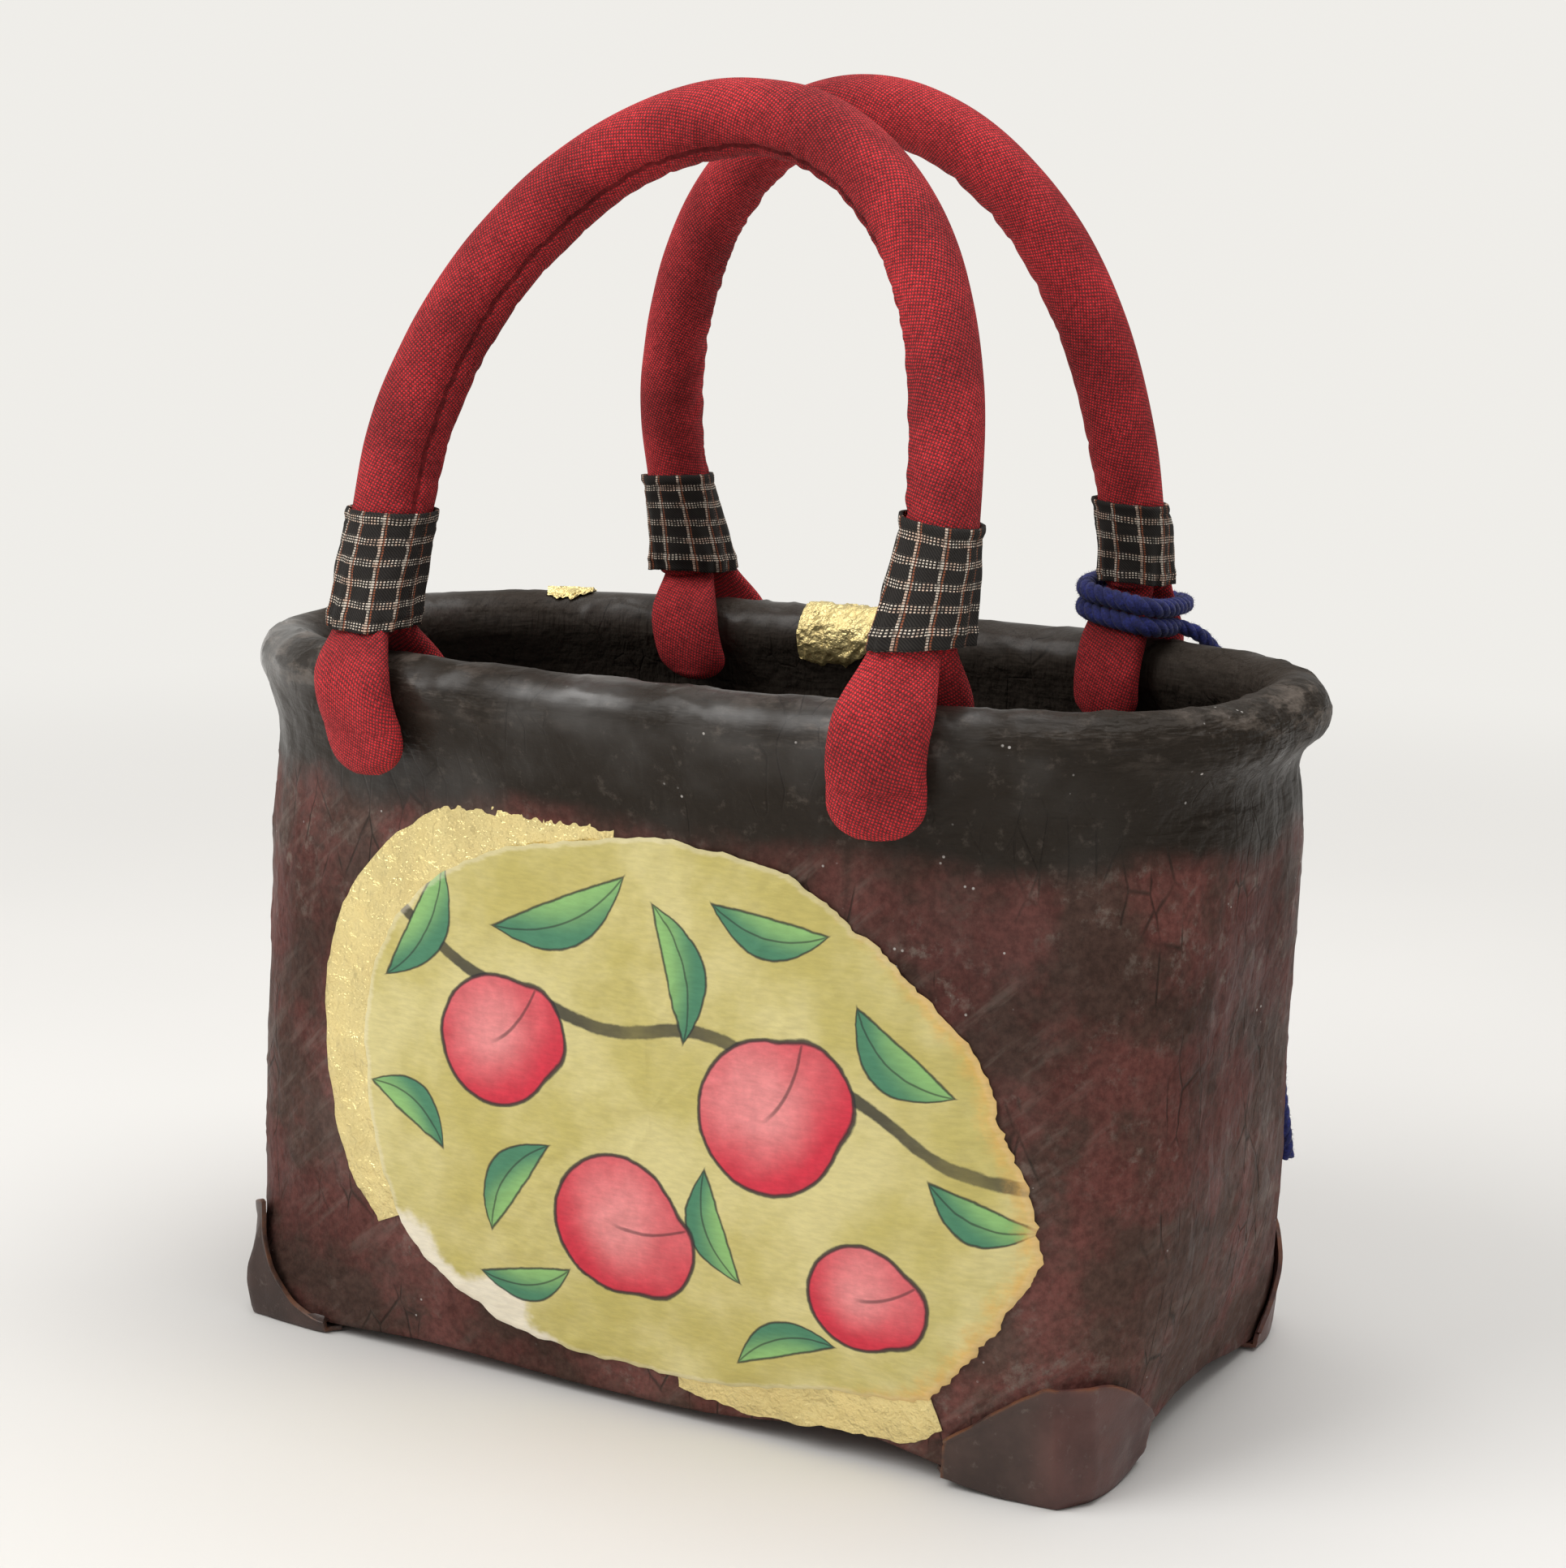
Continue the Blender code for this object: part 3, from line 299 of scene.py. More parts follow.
class Value:
    """A node's socket in a Python expression. Each operation on it adds the node that works it out."""

    def __init__(self, nodes, socket):
        self.nodes = nodes
        self.socket = socket

    def combine(self, operation, other, swapped=False):
        sides = (other, self) if swapped else (self, other)
        return self.nodes.node("ShaderNodeMath", {"operation": operation}, dict(enumerate(sides)))

    def single(self, operation):
        return self.nodes.node("ShaderNodeMath", {"operation": operation}, {0: self})

    __add__ = partialmethod(combine, "ADD")
    __radd__ = partialmethod(combine, "ADD", swapped=True)
    __sub__ = partialmethod(combine, "SUBTRACT")
    __rsub__ = partialmethod(combine, "SUBTRACT", swapped=True)
    __mul__ = partialmethod(combine, "MULTIPLY")
    __rmul__ = partialmethod(combine, "MULTIPLY", swapped=True)
    __truediv__ = partialmethod(combine, "DIVIDE")
    __abs__ = partialmethod(single, "ABSOLUTE")
    lowest = partialmethod(combine, "MINIMUM")
    highest = partialmethod(combine, "MAXIMUM")
    sine = partialmethod(single, "SINE")
    cosine = partialmethod(single, "COSINE")
    fraction = partialmethod(single, "FRACT")

    def length(self):
        return self.nodes.node("ShaderNodeVectorMath", {"operation": "LENGTH"}, {0: self}, "Value")

    def ramp(self, low, high, to_low=0.0, to_high=1.0):
        """Smooth step of the value between two limits."""
        return self.nodes.node(
            "ShaderNodeMapRange",
            {"interpolation_type": "SMOOTHSTEP"},
            {"Value": self, "From Min": low, "From Max": high, "To Min": to_low, "To Max": to_high},
        )

    def parts(self):
        """The three numbers of a vector."""
        first = self.nodes.node("ShaderNodeSeparateXYZ", sockets={0: self})
        return [Value(self.nodes, output) for output in first.socket.node.outputs]

    def noise(self, scale, detail=3.0, roughness=0.55):
        sockets = {"Vector": self, "Scale": scale, "Detail": detail, "Roughness": roughness}
        return self.nodes.node("ShaderNodeTexNoise", sockets=sockets)

    def cells(self, scale, feature="F1"):
        """Distance to the nearest of many scattered points, or to the edge between their cells."""
        sockets = {"Vector": self, "Scale": scale}
        return self.nodes.node("ShaderNodeTexVoronoi", {"feature": feature}, sockets, "Distance")


class Nodes:
    """A node tree, with one way to add any node to it."""

    def __init__(self, tree):
        self.tree = tree

    def node(self, kind, settings=None, sockets=None, output=0):
        made = self.tree.nodes.new(kind)
        for setting, choice in (settings or {}).items():
            setattr(made, setting, choice)
        for name, value in (sockets or {}).items():
            if isinstance(value, Value):
                self.tree.links.new(value.socket, made.inputs[name])
            else:
                made.inputs[name].default_value = value
        return Value(self, made.outputs[output])


class Finish(Nodes):
    """The nodes of a material."""

    def __init__(self, name, roughness=0.6, **constants):
        self.material = bpy.data.materials.new(name)
        self.material.use_nodes = True
        super().__init__(self.material.node_tree)
        self.shader = self.tree.nodes["Principled BSDF"]
        self.shader.inputs["Roughness"].default_value = roughness
        for key, number in constants.items():
            self.shader.inputs[key.replace("_", " ").title().replace("Ior", "IOR")].default_value = number

    def place(self):
        """Place in the bag's own frame, in metres."""
        return self.node("ShaderNodeTexCoord", output="Object")

    def cloth_place(self):
        """Place on the piece's own cloth, in metres: round it or across it, then along it."""
        return self.node("ShaderNodeUVMap", {"uv_map": "cloth"})

    def attribute(self, name):
        return self.node("ShaderNodeAttribute", {"attribute_name": name}, output="Fac")

    def point(self, x, y, z=0.0):
        return self.node("ShaderNodeCombineXYZ", sockets={0: x, 1: y, 2: z})

    def mix(self, first, second, share, kind="MIX"):
        """Colour between two colours, or the first multiplied by the second."""
        sockets = {0: share}
        for index, colour in ((6, first), (7, second)):
            sockets[index] = colour if isinstance(colour, Value) else (*colour, 1.0)
        return self.node("ShaderNodeMix", {"data_type": "RGBA", "blend_type": kind}, sockets, 2)

    def tint(self, colour, brightness):
        """Colour made darker or lighter by a value."""
        grey = self.node("ShaderNodeCombineColor", sockets={0: brightness, 1: brightness, 2: brightness})
        return self.mix(colour, grey, 1.0, "MULTIPLY")

    def done(self, colour, roughness=None, height=None, coat_weight=None):
        """Feed the shader; height is the relief in metres."""
        feeds = {"Base Color": colour, "Roughness": roughness, "Coat Weight": coat_weight}
        if height is not None:
            feeds["Normal"] = self.node(
                "ShaderNodeBump", sockets={"Height": height, "Distance": 1.0, "Strength": 1.0}
            )
        for name, value in feeds.items():
            if value is not None:
                self.tree.links.new(value.socket, self.shader.inputs[name])
        return self.material


def hermite(start, start_way, end, end_way, share):
    """Point on a curve that leaves the start and reaches the end in the given ways."""
    return (
        start * (1 + 2 * share) * (1 - share) ** 2
        + start_way * share * (1 - share) ** 2
        + end * share ** 2 * (3 - 2 * share)
        + end_way * share ** 2 * (share - 1)
    )


def smooth_row(rows, place):
    """Read a table at a place in its first column, on a curve through its rows."""
    last = len(rows) - 1
    row = 0
    while row < last - 1 and place > rows[row + 1][0]:
        row += 1
    share = (place - rows[row][0]) / (rows[row + 1][0] - rows[row][0])
    a, b, c, d = (np.array(rows[min(max(row + shift, 0), last)][1:]) for shift in (-1, 0, 1, 2))
    return hermite(b, (c - a) / 2, c, (d - b) / 2, share)


def smooth_path(points, steps, closed=False):
    """Points on a smooth curve through the given ones, as an array."""
    points = np.asarray(points, float)
    count = len(points)
    path = []
    for span in range(count if closed else count - 1):
        indices = [span + shift for shift in (-1, 0, 1, 2)]
        if not closed:
            indices = [min(max(index, 0), count - 1) for index in indices]
        a, b, c, d = (points[index % count] for index in indices)
        path += [hermite(b, (c - a) / 2, c, (d - b) / 2, step / steps) for step in range(steps)]
    if not closed:
        path.append(points[-1])
    return np.array(path)


def unit(vectors):
    """The same vectors with length 1."""
    return vectors / np.maximum(np.linalg.norm(vectors, axis=-1, keepdims=True), 1e-12)


def path_lengths(path):
    """Distance of each point of a path from its start, along the path."""
    return np.concatenate([[0.0], np.cumsum(np.linalg.norm(np.diff(path, axis=0), axis=1))])


def even_path(path, count):
    """The same path with evenly spaced points."""
    lengths = path_lengths(path)
    places = np.linspace(0.0, lengths[-1], count)
    return np.stack([np.interp(places, lengths, path[:, axis]) for axis in range(path.shape[1])], 1)


def hump(value, middle, width):
    """Bell curve with height 1."""
    return np.exp(-((value - middle) / width) ** 2)


def flat_spots(places, third=0.0):
    """Flat places as points, for the noise."""
    return np.column_stack([places, np.full(len(places), third)])


def smooth_step(value, low, high):
    share = np.clip((value - low) / (high - low), 0.0, 1.0)
    return share * share * (3 - 2 * share)


def signed_power(value, power):
    return np.copysign(np.abs(value) ** power, value)


def noise_field(places, scale, octaves=3, ridged=False, seed=0.0):
    """Smooth noise at many places: about -1 to 1, or 0 to 1 with sharp ridges."""
    scale = np.broadcast_to(np.asarray(scale, float), (3,))
    values = np.empty(len(places))
    for index, place in enumerate(np.asarray(places) * scale + seed):
        spot = Vector(place)
        if ridged:
            values[index] = 1 - abs(noise.fractal(spot, 1.0, 2.0, octaves)) * 2
        else:
            values[index] = noise.fractal(spot, 1.0, 2.0, octaves)
    return values


def grid_faces(rows, columns, closed=True, first=0):
    faces = []
    for row in range(rows - 1):
        for column in range(columns if closed else columns - 1):
            following = (column + 1) % columns
            start = first + row * columns
            faces.append((start + column, start + following, start + columns + following,
                          start + columns + column))
    return faces


def mesh_piece(name, points, faces, material, uv=None, values=None):
    """Make a smooth mesh object; uv gives the cloth's place at each point."""
    mesh = bpy.data.meshes.new(name)
    mesh.from_pydata(np.asarray(points).tolist(), [], faces)
    if uv is not None:
        layer = mesh.uv_layers.new(name="cloth")
        corners = np.empty(len(mesh.loops), int)
        mesh.loops.foreach_get("vertex_index", corners)
        layer.data.foreach_set("uv", np.asarray(uv)[corners].ravel())
    for key, numbers in (values or {}).items():
        mesh.attributes.new(key, "FLOAT", "POINT").data.foreach_set("value", np.asarray(numbers, float))
    mesh.materials.append(material)
    mesh.shade_smooth()
    piece = bpy.data.objects.new(name, mesh)
    bpy.context.scene.collection.objects.link(piece)
    return piece


def outward(piece):
    """Turn a closed mesh's faces outwards."""
    shape = bmesh.new()
    shape.from_mesh(piece.data)
    bmesh.ops.recalc_face_normals(shape, faces=shape.faces)
    shape.to_mesh(piece.data)
    shape.free()
    return piece


def close_ends(points, faces, rows, columns, first=0):
    """Close both ends of a tube with a point in the middle of its last rings."""
    for row in (0, rows - 1):
        ring = [first + row * columns + column for column in range(columns)]
        pole = len(points)
        points.append(np.mean([points[index] for index in ring], axis=0))
        for column in range(columns):
            pair = (ring[column], ring[(column + 1) % columns])
            faces.append((pole, pair[1], pair[0]) if row == 0 else (pole, *pair))


def settle(piece, slot, *nodes):
    """Attach a finished piece to the bag in place of its solids."""
    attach(piece, BODY)
    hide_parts(*nodes)
    return piece


def grid_normals(grid, closed=True):
    """Unit normals of a grid of points, rows by columns."""
    if closed:
        along = np.roll(grid, -1, axis=1) - np.roll(grid, 1, axis=1)
    else:
        along = np.gradient(grid, axis=1)
    return unit(np.cross(along, np.gradient(grid, axis=0)))


# The body's surface, for many columns at once: across and along are places on its outline

SECTION_RISES = np.linspace(0.0, 1.0, 201)
SECTION_CURVE = np.array([smooth_row(SECTIONS, rise) for rise in SECTION_RISES])


def section_at(rise):
    """Half width, half depth and squareness of the wall at a share of its height."""
    to_rim, belly, squareness = (np.interp(rise, SECTION_RISES, SECTION_CURVE[:, i]) for i in range(3))
    half_width = BASE_HALF_WIDTH + (RIM_HALF_WIDTH + WALL / 2 - BASE_HALF_WIDTH) * to_rim + BELLY * belly
    half_depth = BASE_HALF_DEPTH + (RIM_HALF_DEPTH + WALL / 2 - BASE_HALF_DEPTH) * to_rim + BELLY * belly
    return half_width, half_depth, squareness


def outline_scale(across, along, squareness):
    return (np.abs(across) ** squareness + np.abs(along) ** squareness) ** (-1 / squareness)


def outline_way(x, y, half_width, half_depth, squareness):
    """Outward direction of a rounded outline at a place on it."""
    way = np.stack([
        signed_power(x / half_width, squareness - 1) / half_width,
        signed_power(y / half_depth, squareness - 1) / half_depth,
        np.zeros_like(x),
    ], -1)
    return unit(way)


def edge_lift(across, along):
    """Height of the base's edge over its foot, between the lifts listed round the base."""
    reach = np.maximum(np.abs(across), np.abs(along))
    total = 0.0
    weights = 0.0
    for lift_across, lift_along, lift in EDGE_LIFTS:
        span = np.hypot(
            (across / reach - lift_across) * BASE_HALF_WIDTH, (along / reach - lift_along) * BASE_HALF_DEPTH
        )
        weight = 1 / (span / BASE_HALF_DEPTH + 0.05) ** 3
        total = total + weight * lift
        weights = weights + weight
    return BASE_LIFT * total / weights


def off_the_sole(x, y):
    """Share of the lift at a place of the base, none over the soles at the corners."""
    away = np.hypot(BASE_HALF_WIDTH - np.abs(x), BASE_HALF_DEPTH - np.abs(y)) / SOLE_REACH
    return smooth_step(away, 1.0, 4.0)


def dent_depth(across, along, rise):
    depth = 0.0
    for dent_across, dent_along, dent_rise, reach, share in DENTS:
        if abs(dent_along) == 1:
            sideways = (across - dent_across) * RIM_HALF_WIDTH
            side = along * dent_along >= 0.999
            edge = 1 - np.abs(across) ** 8
        else:
            sideways = (along - dent_along) * RIM_HALF_DEPTH
            side = across * dent_across >= 0.999
            edge = 1 - np.abs(along) ** 8
        distance = np.hypot(sideways, (rise - dent_rise) * WALL_TOP) / (reach * DENT_REACH)
        depth = depth + side * edge * share * DENT_DEPTH * np.exp(-distance ** 2)
    return depth


def wall_row(across, along, rise, offset=0.0):
    """Points of the wall's outer face at a share of its height, moved outwards by the offset."""
    half_width, half_depth, squareness = section_at(rise)
    scale = outline_scale(across, along, squareness)
    x = half_width * across * scale
    y = half_depth * along * scale
    way = outline_way(x, y, half_width, half_depth, squareness)
    settled = np.maximum(0.0, 1 - rise * 3) ** 2 * off_the_sole(x, y)
    height = WALL_FOOT + (WALL_TOP - WALL_FOOT) * rise + edge_lift(across, along) * settled
    corner = np.minimum(np.abs(across), np.abs(along)) ** 12
    tip = TIP_REACH * corner * hump(height, TIP_HEIGHT, 1.3 * TIP_HEIGHT)
    shift = offset - dent_depth(across, along, rise) + tip
    return np.stack([x, y, height], -1) + way * np.asarray(shift)[..., None]


def base_row(across, along, share, drop=0.0):
    """Points of the base's underside, from its middle (0) to its edge (1)."""
    edge = wall_row(across, along, 0.0)
    x = edge[..., 0] * share
    y = edge[..., 1] * share
    sag = 1 - (1 - share) ** 2
    lift = BASE_LIFT * 0.45 + (edge_lift(across, along) - BASE_LIFT * 0.45) * sag
    return np.stack([x, y, WALL_FOOT + lift * off_the_sole(x, y) - drop], -1)


def front_points(x, height, offset=0.0):
    """Points over the front wall at given widths and heights."""
    rise = (height - WALL_FOOT) / (WALL_TOP - WALL_FOOT)
    half_width, half_depth, squareness = section_at(rise)
    depth = half_depth * (1 - np.abs(x / half_width) ** squareness) ** (1 / squareness)
    return wall_row(x / half_width * half_depth / depth, -np.ones_like(x), rise, offset)


def hoop_depth(x):
    """Distance of the hoop's centre line from the middle plane at a place along the bag."""
    return RIM_HALF_DEPTH * (1 - np.abs(x / RIM_HALF_WIDTH) ** RIM_SQUARENESS) ** (1 / RIM_SQUARENESS)


def rim_line(across, along):
    """Centre of the rim's roll at each column, and the direction straight out of the bag there."""
    scale = outline_scale(across, along, RIM_SQUARENESS)
    x = RIM_HALF_WIDTH * across * scale
    y = RIM_HALF_DEPTH * along * scale
    centre = np.stack([x, y, np.full_like(x, HOOP_HEIGHT)], -1)
    return centre, outline_way(x, y, RIM_HALF_WIDTH, RIM_HALF_DEPTH, RIM_SQUARENESS)


def wall_columns(count):
    """Evenly spaced columns round the body, as places on a rectangle from -1 to 1."""
    turn = np.linspace(0.0, 2 * math.pi, 4001)
    outline = np.stack([
        RIM_HALF_WIDTH * signed_power(np.cos(turn), 0.5), RIM_HALF_DEPTH * signed_power(np.sin(turn), 0.5)
    ], 1)
    outline = even_path(outline, count + 1)[:-1] / (RIM_HALF_WIDTH, RIM_HALF_DEPTH)
    reach = np.abs(outline).max(axis=1)
    return outline[:, 0] / reach, outline[:, 1] / reach


def fold_relief(places, depth):
    """Height of the folds in the lacquered paper at places of the wall."""
    broad = noise_field(places, 17, 2) * 0.9
    sideness = smooth_step(np.abs(places[:, 0]), 0.080, 0.128)
    upright = noise_field(places, (95, 95, 9), 2, ridged=True, seed=3.0) ** 2
    crumple = noise_field(places, 62, 3, ridged=True, seed=8.0) ** 4
    return depth * (broad + (0.45 * sideness + 0.15) * upright + 0.55 * crumple - 0.6)


BODY_COLUMNS = 400
UNDERSIDE_SHARES = (0.04, 0.2, 0.4, 0.6, 0.78, 0.9, 0.97)
FLOOR_SHARES = (0.96, 0.9, 0.75, 0.5, 0.25, 0.04)
LINING_TOP = 0.90
LINING_FOOT = 0.012
WALL_ROWS = 96
ROLL_ROWS = 34
INSIDE_ROWS = 46
SOFT_NECK = (0.158, -12.0)
SHARP_NECK = (0.177, -52.0)
INNER_TURN = 212.0


def body_grid():
    """Rows of points over the whole skin: underside, wall, roll, inside, floor; with inside shares."""
    across, along = wall_columns(BODY_COLUMNS)
    centre, out = rim_line(across, along)
    up = np.array([0.0, 0.0, 1.0])
    softness = smooth_step(-out[:, 1], 0.35, 0.92)
    neck_height = SHARP_NECK[0] + (SOFT_NECK[0] - SHARP_NECK[0]) * softness
    neck_rise = (neck_height - WALL_FOOT) / (WALL_TOP - WALL_FOOT)
    first_turn = np.radians(SHARP_NECK[1] + (SOFT_NECK[1] - SHARP_NECK[1]) * softness)
    last_turn = math.radians(INNER_TURN)

    def roll(turn):
        turn = np.broadcast_to(turn, across.shape)[:, None]
        return centre + (out * np.cos(turn) + up * np.sin(turn)) * HOOP_RADIUS

    def roll_way(turn):
        turn = np.broadcast_to(turn, across.shape)[:, None]
        return -out * np.sin(turn) + up * np.cos(turn)

    rows = [base_row(across, along, share) for share in UNDERSIDE_SHARES]
    rows += [wall_row(across, along, neck_rise * share) for share in np.linspace(0, 1, WALL_ROWS)]
    start, end = rows[-1], roll(first_turn)
    reach = np.linalg.norm(end - start, axis=1, keepdims=True)
    climb = unit(rows[-1] - rows[-2])
    rows += [
        hermite(start, climb * reach * 1.1, end, roll_way(first_turn) * reach * 1.1, share)
        for share in np.linspace(0, 1, 18)[1:-1]
    ]
    rows += [roll(first_turn + (last_turn - first_turn) * share) for share in np.linspace(0, 1, ROLL_ROWS)]
    outside = len(rows) - ROLL_ROWS // 2
    end = wall_row(across, along, LINING_TOP, -WALL)
    reach = np.linalg.norm(end - rows[-1], axis=1, keepdims=True)
    start = rows[-1]
    rows += [
        hermite(start, roll_way(last_turn) * reach, end, -up * reach, share)
        for share in np.linspace(0, 1, 9)[1:-1]
    ]
    rises = np.linspace(LINING_TOP, LINING_FOOT, INSIDE_ROWS)
    rows += [wall_row(across, along, rise, -WALL) for rise in rises]
    rows += [base_row(across, along, share, -WALL) for share in FLOOR_SHARES]
    inside = smooth_step(np.arange(len(rows)), outside - 2.0, outside + 5.0)
    return np.array(rows), np.repeat(inside[:, None], BODY_COLUMNS, axis=1)


def body_relief(grid, inside, depth):
    """Height of every fold over the skin, for its whole grid."""
    places = grid.reshape(-1, 3)
    within = inside.ravel()
    height = places[:, 2]
    outer = fold_relief(places, depth)
    lining = depth * noise_field(places, (85, 85, 16), 3, ridged=True, seed=5.0) ** 2
    torn = depth * (0.9 * noise_field(places, 48, 3, ridged=True, seed=21.0) ** 3 - 0.3)
    rolled = smooth_step(height, 0.178, 0.192)
    relief = outer * (1 - rolled) * (1 - within) + torn * rolled + lining * within * (1 - rolled)
    relief *= 1 - 0.8 * smooth_step(-height, -0.012, -0.004)
    return relief.reshape(inside.shape)


def build_body(sizes, colours):
    """One skin of lacquered paper over the wall, the rim's roll, the lining and the base."""
    grid, inside = body_grid()
    grid = grid + grid_normals(grid) * body_relief(grid, inside, sizes.fold_depth)[..., None]
    rows, columns = inside.shape
    points = list(grid.reshape(-1, 3))
    faces = grid_faces(rows, columns)
    close_ends(points, faces, rows, columns)
    values = [*inside.ravel(), 0.0, 1.0]
    skin = mesh_piece("paper_skin", points, faces, lacquer(colours, sizes), values={"inside": values})
    settle(outward(skin), "body_paper", "paper_body", "rim_hoop")


# Corner caps

# name: sides along x and y, height share, place of the apex, height share at the ends,
# span share, power leaving the apex and end power on the long and on the short wall
CORNERS = {
    "front_left": (-1, -1, 0.92, 0.0, 0.06, (0.80, 1.0, 1.9), (0.85, 1.8, 1.0)),
    "front_right": (1, -1, 0.84, 0.22, 0.34, (0.88, 2.4, 1.0), (0.92, 2.2, 1.0)),
    "back_left": (-1, 1, 1.0, 0.0, 0.08, (0.90, 2.0, 1.0), (0.85, 1.6, 1.0)),
    "back_right": (1, 1, 1.12, 0.0, 0.08, (0.90, 2.0, 1.0), (0.75, 1.3, 1.0)),
}
CAP_COLUMNS = 57
CAP_UNDER = 0.0300
CAP_GAP = 0.0011
CAP_CURL = 0.0007
CAP_CREASE = 0.0016
CREASE_SHARE = 0.11


def build_cap(name, sizes, leather):
    """Curved leather corner: over both walls and folded under the base, with a curling top edge."""
    side_x, side_y, height, apex, end_height, long_wall, short_wall = CORNERS[name]
    share = np.linspace(-1.0, 1.0, CAP_COLUMNS)
    x_span = np.maximum(-share, 0.0) * sizes.cap_span * long_wall[0] / BASE_HALF_WIDTH
    y_span = np.maximum(share, 0.0) * sizes.cap_span * short_wall[0] / BASE_HALF_DEPTH
    from_apex = np.where(share < apex, (apex - share) / (1 + apex), (share - apex) / (1 - apex))
    leave = np.where(share < apex, long_wall[1], short_wall[1])
    finish = np.where(share < apex, long_wall[2], short_wall[2])
    across, along = side_x * (1 - x_span), side_y * (1 - y_span)
    seed = 7.0 * side_x + 3.0 * side_y
    wobble = noise_field(np.stack([share * 2.2, np.full_like(share, seed), share * 0], 1), 1.0, 2)
    fall = end_height + (1 - end_height) * (1 - from_apex ** leave) ** finish
    top = fall * (1 + 0.06 * wobble) * sizes.cap_height * height
    under = CAP_UNDER * np.maximum(0.12, 1 - np.abs(share) ** 1.8)
    edge_length = np.hypot(BASE_HALF_WIDTH * across, BASE_HALF_DEPTH * along)
    rows = []
    edges = []
    for part in np.linspace(1.0, 0.0, 9)[:-1]:
        rows.append(base_row(across, along, 1 - under * part / edge_length, CAP_GAP))
        edges.append(np.full_like(share, smooth_step(part, 0.9, 1.0)))
    for part in np.linspace(0.0, 1.0, 30):
        curl = CAP_CURL * smooth_step(part, 0.82, 1.0)
        row = wall_row(across, along, part * top / (WALL_TOP - WALL_FOOT), CAP_GAP + curl)
        row[:, 2] -= CAP_GAP * max(0.0, 1 - part * 12)
        rows.append(row)
        edges.append(np.full_like(share, smooth_step(part, 0.93, 1.0)))
    grid = np.array(rows)
    places = grid.reshape(-1, 3)
    ruck = 0.00035 * noise_field(places, 55, 2, seed=seed) + 0.0002 * noise_field(places, 160, 2, seed=seed)
    crease = CAP_CREASE * (apex > 0) * np.exp(-np.abs(share - apex) / CREASE_SHARE)
    ruck = ruck.reshape(grid.shape[:2]) + crease[None, :]
    grid = grid + grid_normals(grid, closed=False) * ruck[..., None]
    grid[..., 2] = np.maximum(grid[..., 2], sizes.cap_thickness)
    edges = np.maximum(np.array(edges), smooth_step(np.abs(share), 0.93, 1.0)[None, :])
    faces = grid_faces(len(rows), CAP_COLUMNS, closed=False)
    values = {"edge": edges.ravel()}
    piece = mesh_piece(f"{name}_leather", grid.reshape(-1, 3), faces, leather, values=values)
    skin_out(piece, Vector((side_x, side_y, 0.0)), sizes.cap_thickness)
    settle(piece, "cap_leather", f"{name}_cap")


def skin_out(piece, way, thickness):
    """Thicken a sheet on the side that looks the given way, and round its edges."""
    shape = bmesh.new()
    shape.from_mesh(piece.data)
    looks = sum((face.normal * face.calc_area() for face in shape.faces), Vector())
    if looks.dot(way) < 0:
        bmesh.ops.reverse_faces(shape, faces=shape.faces)
    shape.to_mesh(piece.data)
    shape.free()
    thick = piece.modifiers.new("thickness", "SOLIDIFY")
    thick.thickness = thickness
    thick.offset = 1.0
    thick.use_even_offset = False
    rounded = piece.modifiers.new("edge", "BEVEL")
    rounded.width = thickness * 0.4
    rounded.segments = 2
    rounded.limit_method = "ANGLE"
    rounded.angle_limit = math.radians(60)
    make_plain(piece)


def make_plain(piece):
    """Apply a piece's modifiers, so that it is a plain mesh."""
    depsgraph = bpy.context.evaluated_depsgraph_get()
    mesh = bpy.data.meshes.new_from_object(piece.evaluated_get(depsgraph), depsgraph=depsgraph)
    piece.modifiers.clear()
    piece.data = mesh
    mesh.shade_smooth()
    return piece


# Handles, feet, cuffs

ARCH_STEPS = 12
ARCH_END = 0.045
PATH_STEPS = 24


def handle_depth(name, height):
    """Depth of a handle's leaning plane at a height."""
    side, lean = HANDLES[name][:2]
    hang = hoop_depth(np.array(HANDLE_HALF_SPAN))
    return side * (hang - (height - RIM_CREST) * math.tan(math.radians(lean)))


def cuff_heights(end):
    low = RIM_CREST + end[3] * CUFF_LENGTH
    return low, low + end[4] * CUFF_LENGTH


def handle_course(name):
    """Centre line of a handle from its left end to its right, with its radius at each point."""
    _, _, middle, span, crest, skew = HANDLES[name]
    left, right = [end for end in ENDS.values() if end[0] == name]
    rows = {}
    for end in (left, right):
        low, high = cuff_heights(end)
        heights = (low + CUFF_GAP, low + 0.6 * (high - low))
        x = end[1] * HANDLE_HALF_SPAN
        rows[end] = [(x, handle_depth(name, h), h, end[5] * TUCK_SHARE * HANDLE_RADIUS) for h in heights]
    arch = []
    for step in range(ARCH_STEPS + 1):
        part = step / ARCH_STEPS
        turn = math.pi * (1 - ARCH_END + (2 * ARCH_END - 1) * part)
        lift = math.sin(turn)
        x = (middle + span * math.cos(turn) + skew * lift ** 2) * HANDLE_HALF_SPAN
        height = SPRING_HEIGHT + (HANDLE_CREST - SPRING_HEIGHT) * crest * lift
        bulk = (left[5] + (right[5] - left[5]) * part) * (1 - 0.04 * lift)
        arch.append((x, handle_depth(name, height), height, bulk * HANDLE_RADIUS))
    return smooth_path(rows[left] + arch + rows[right][::-1], PATH_STEPS)


def foot_half_thickness(end):
    return FOOT_HALF_THICKNESS * end[7]


def leg_half_thickness(end, height):
    """Half thickness of a leg, squeezed where the cuff gathers it."""
    squeeze = (1 - LEG_SQUEEZE) * float(smooth_step(foot_share(end, height), 0.50, 0.82))
    return foot_half_thickness(end) * (1 - squeeze)


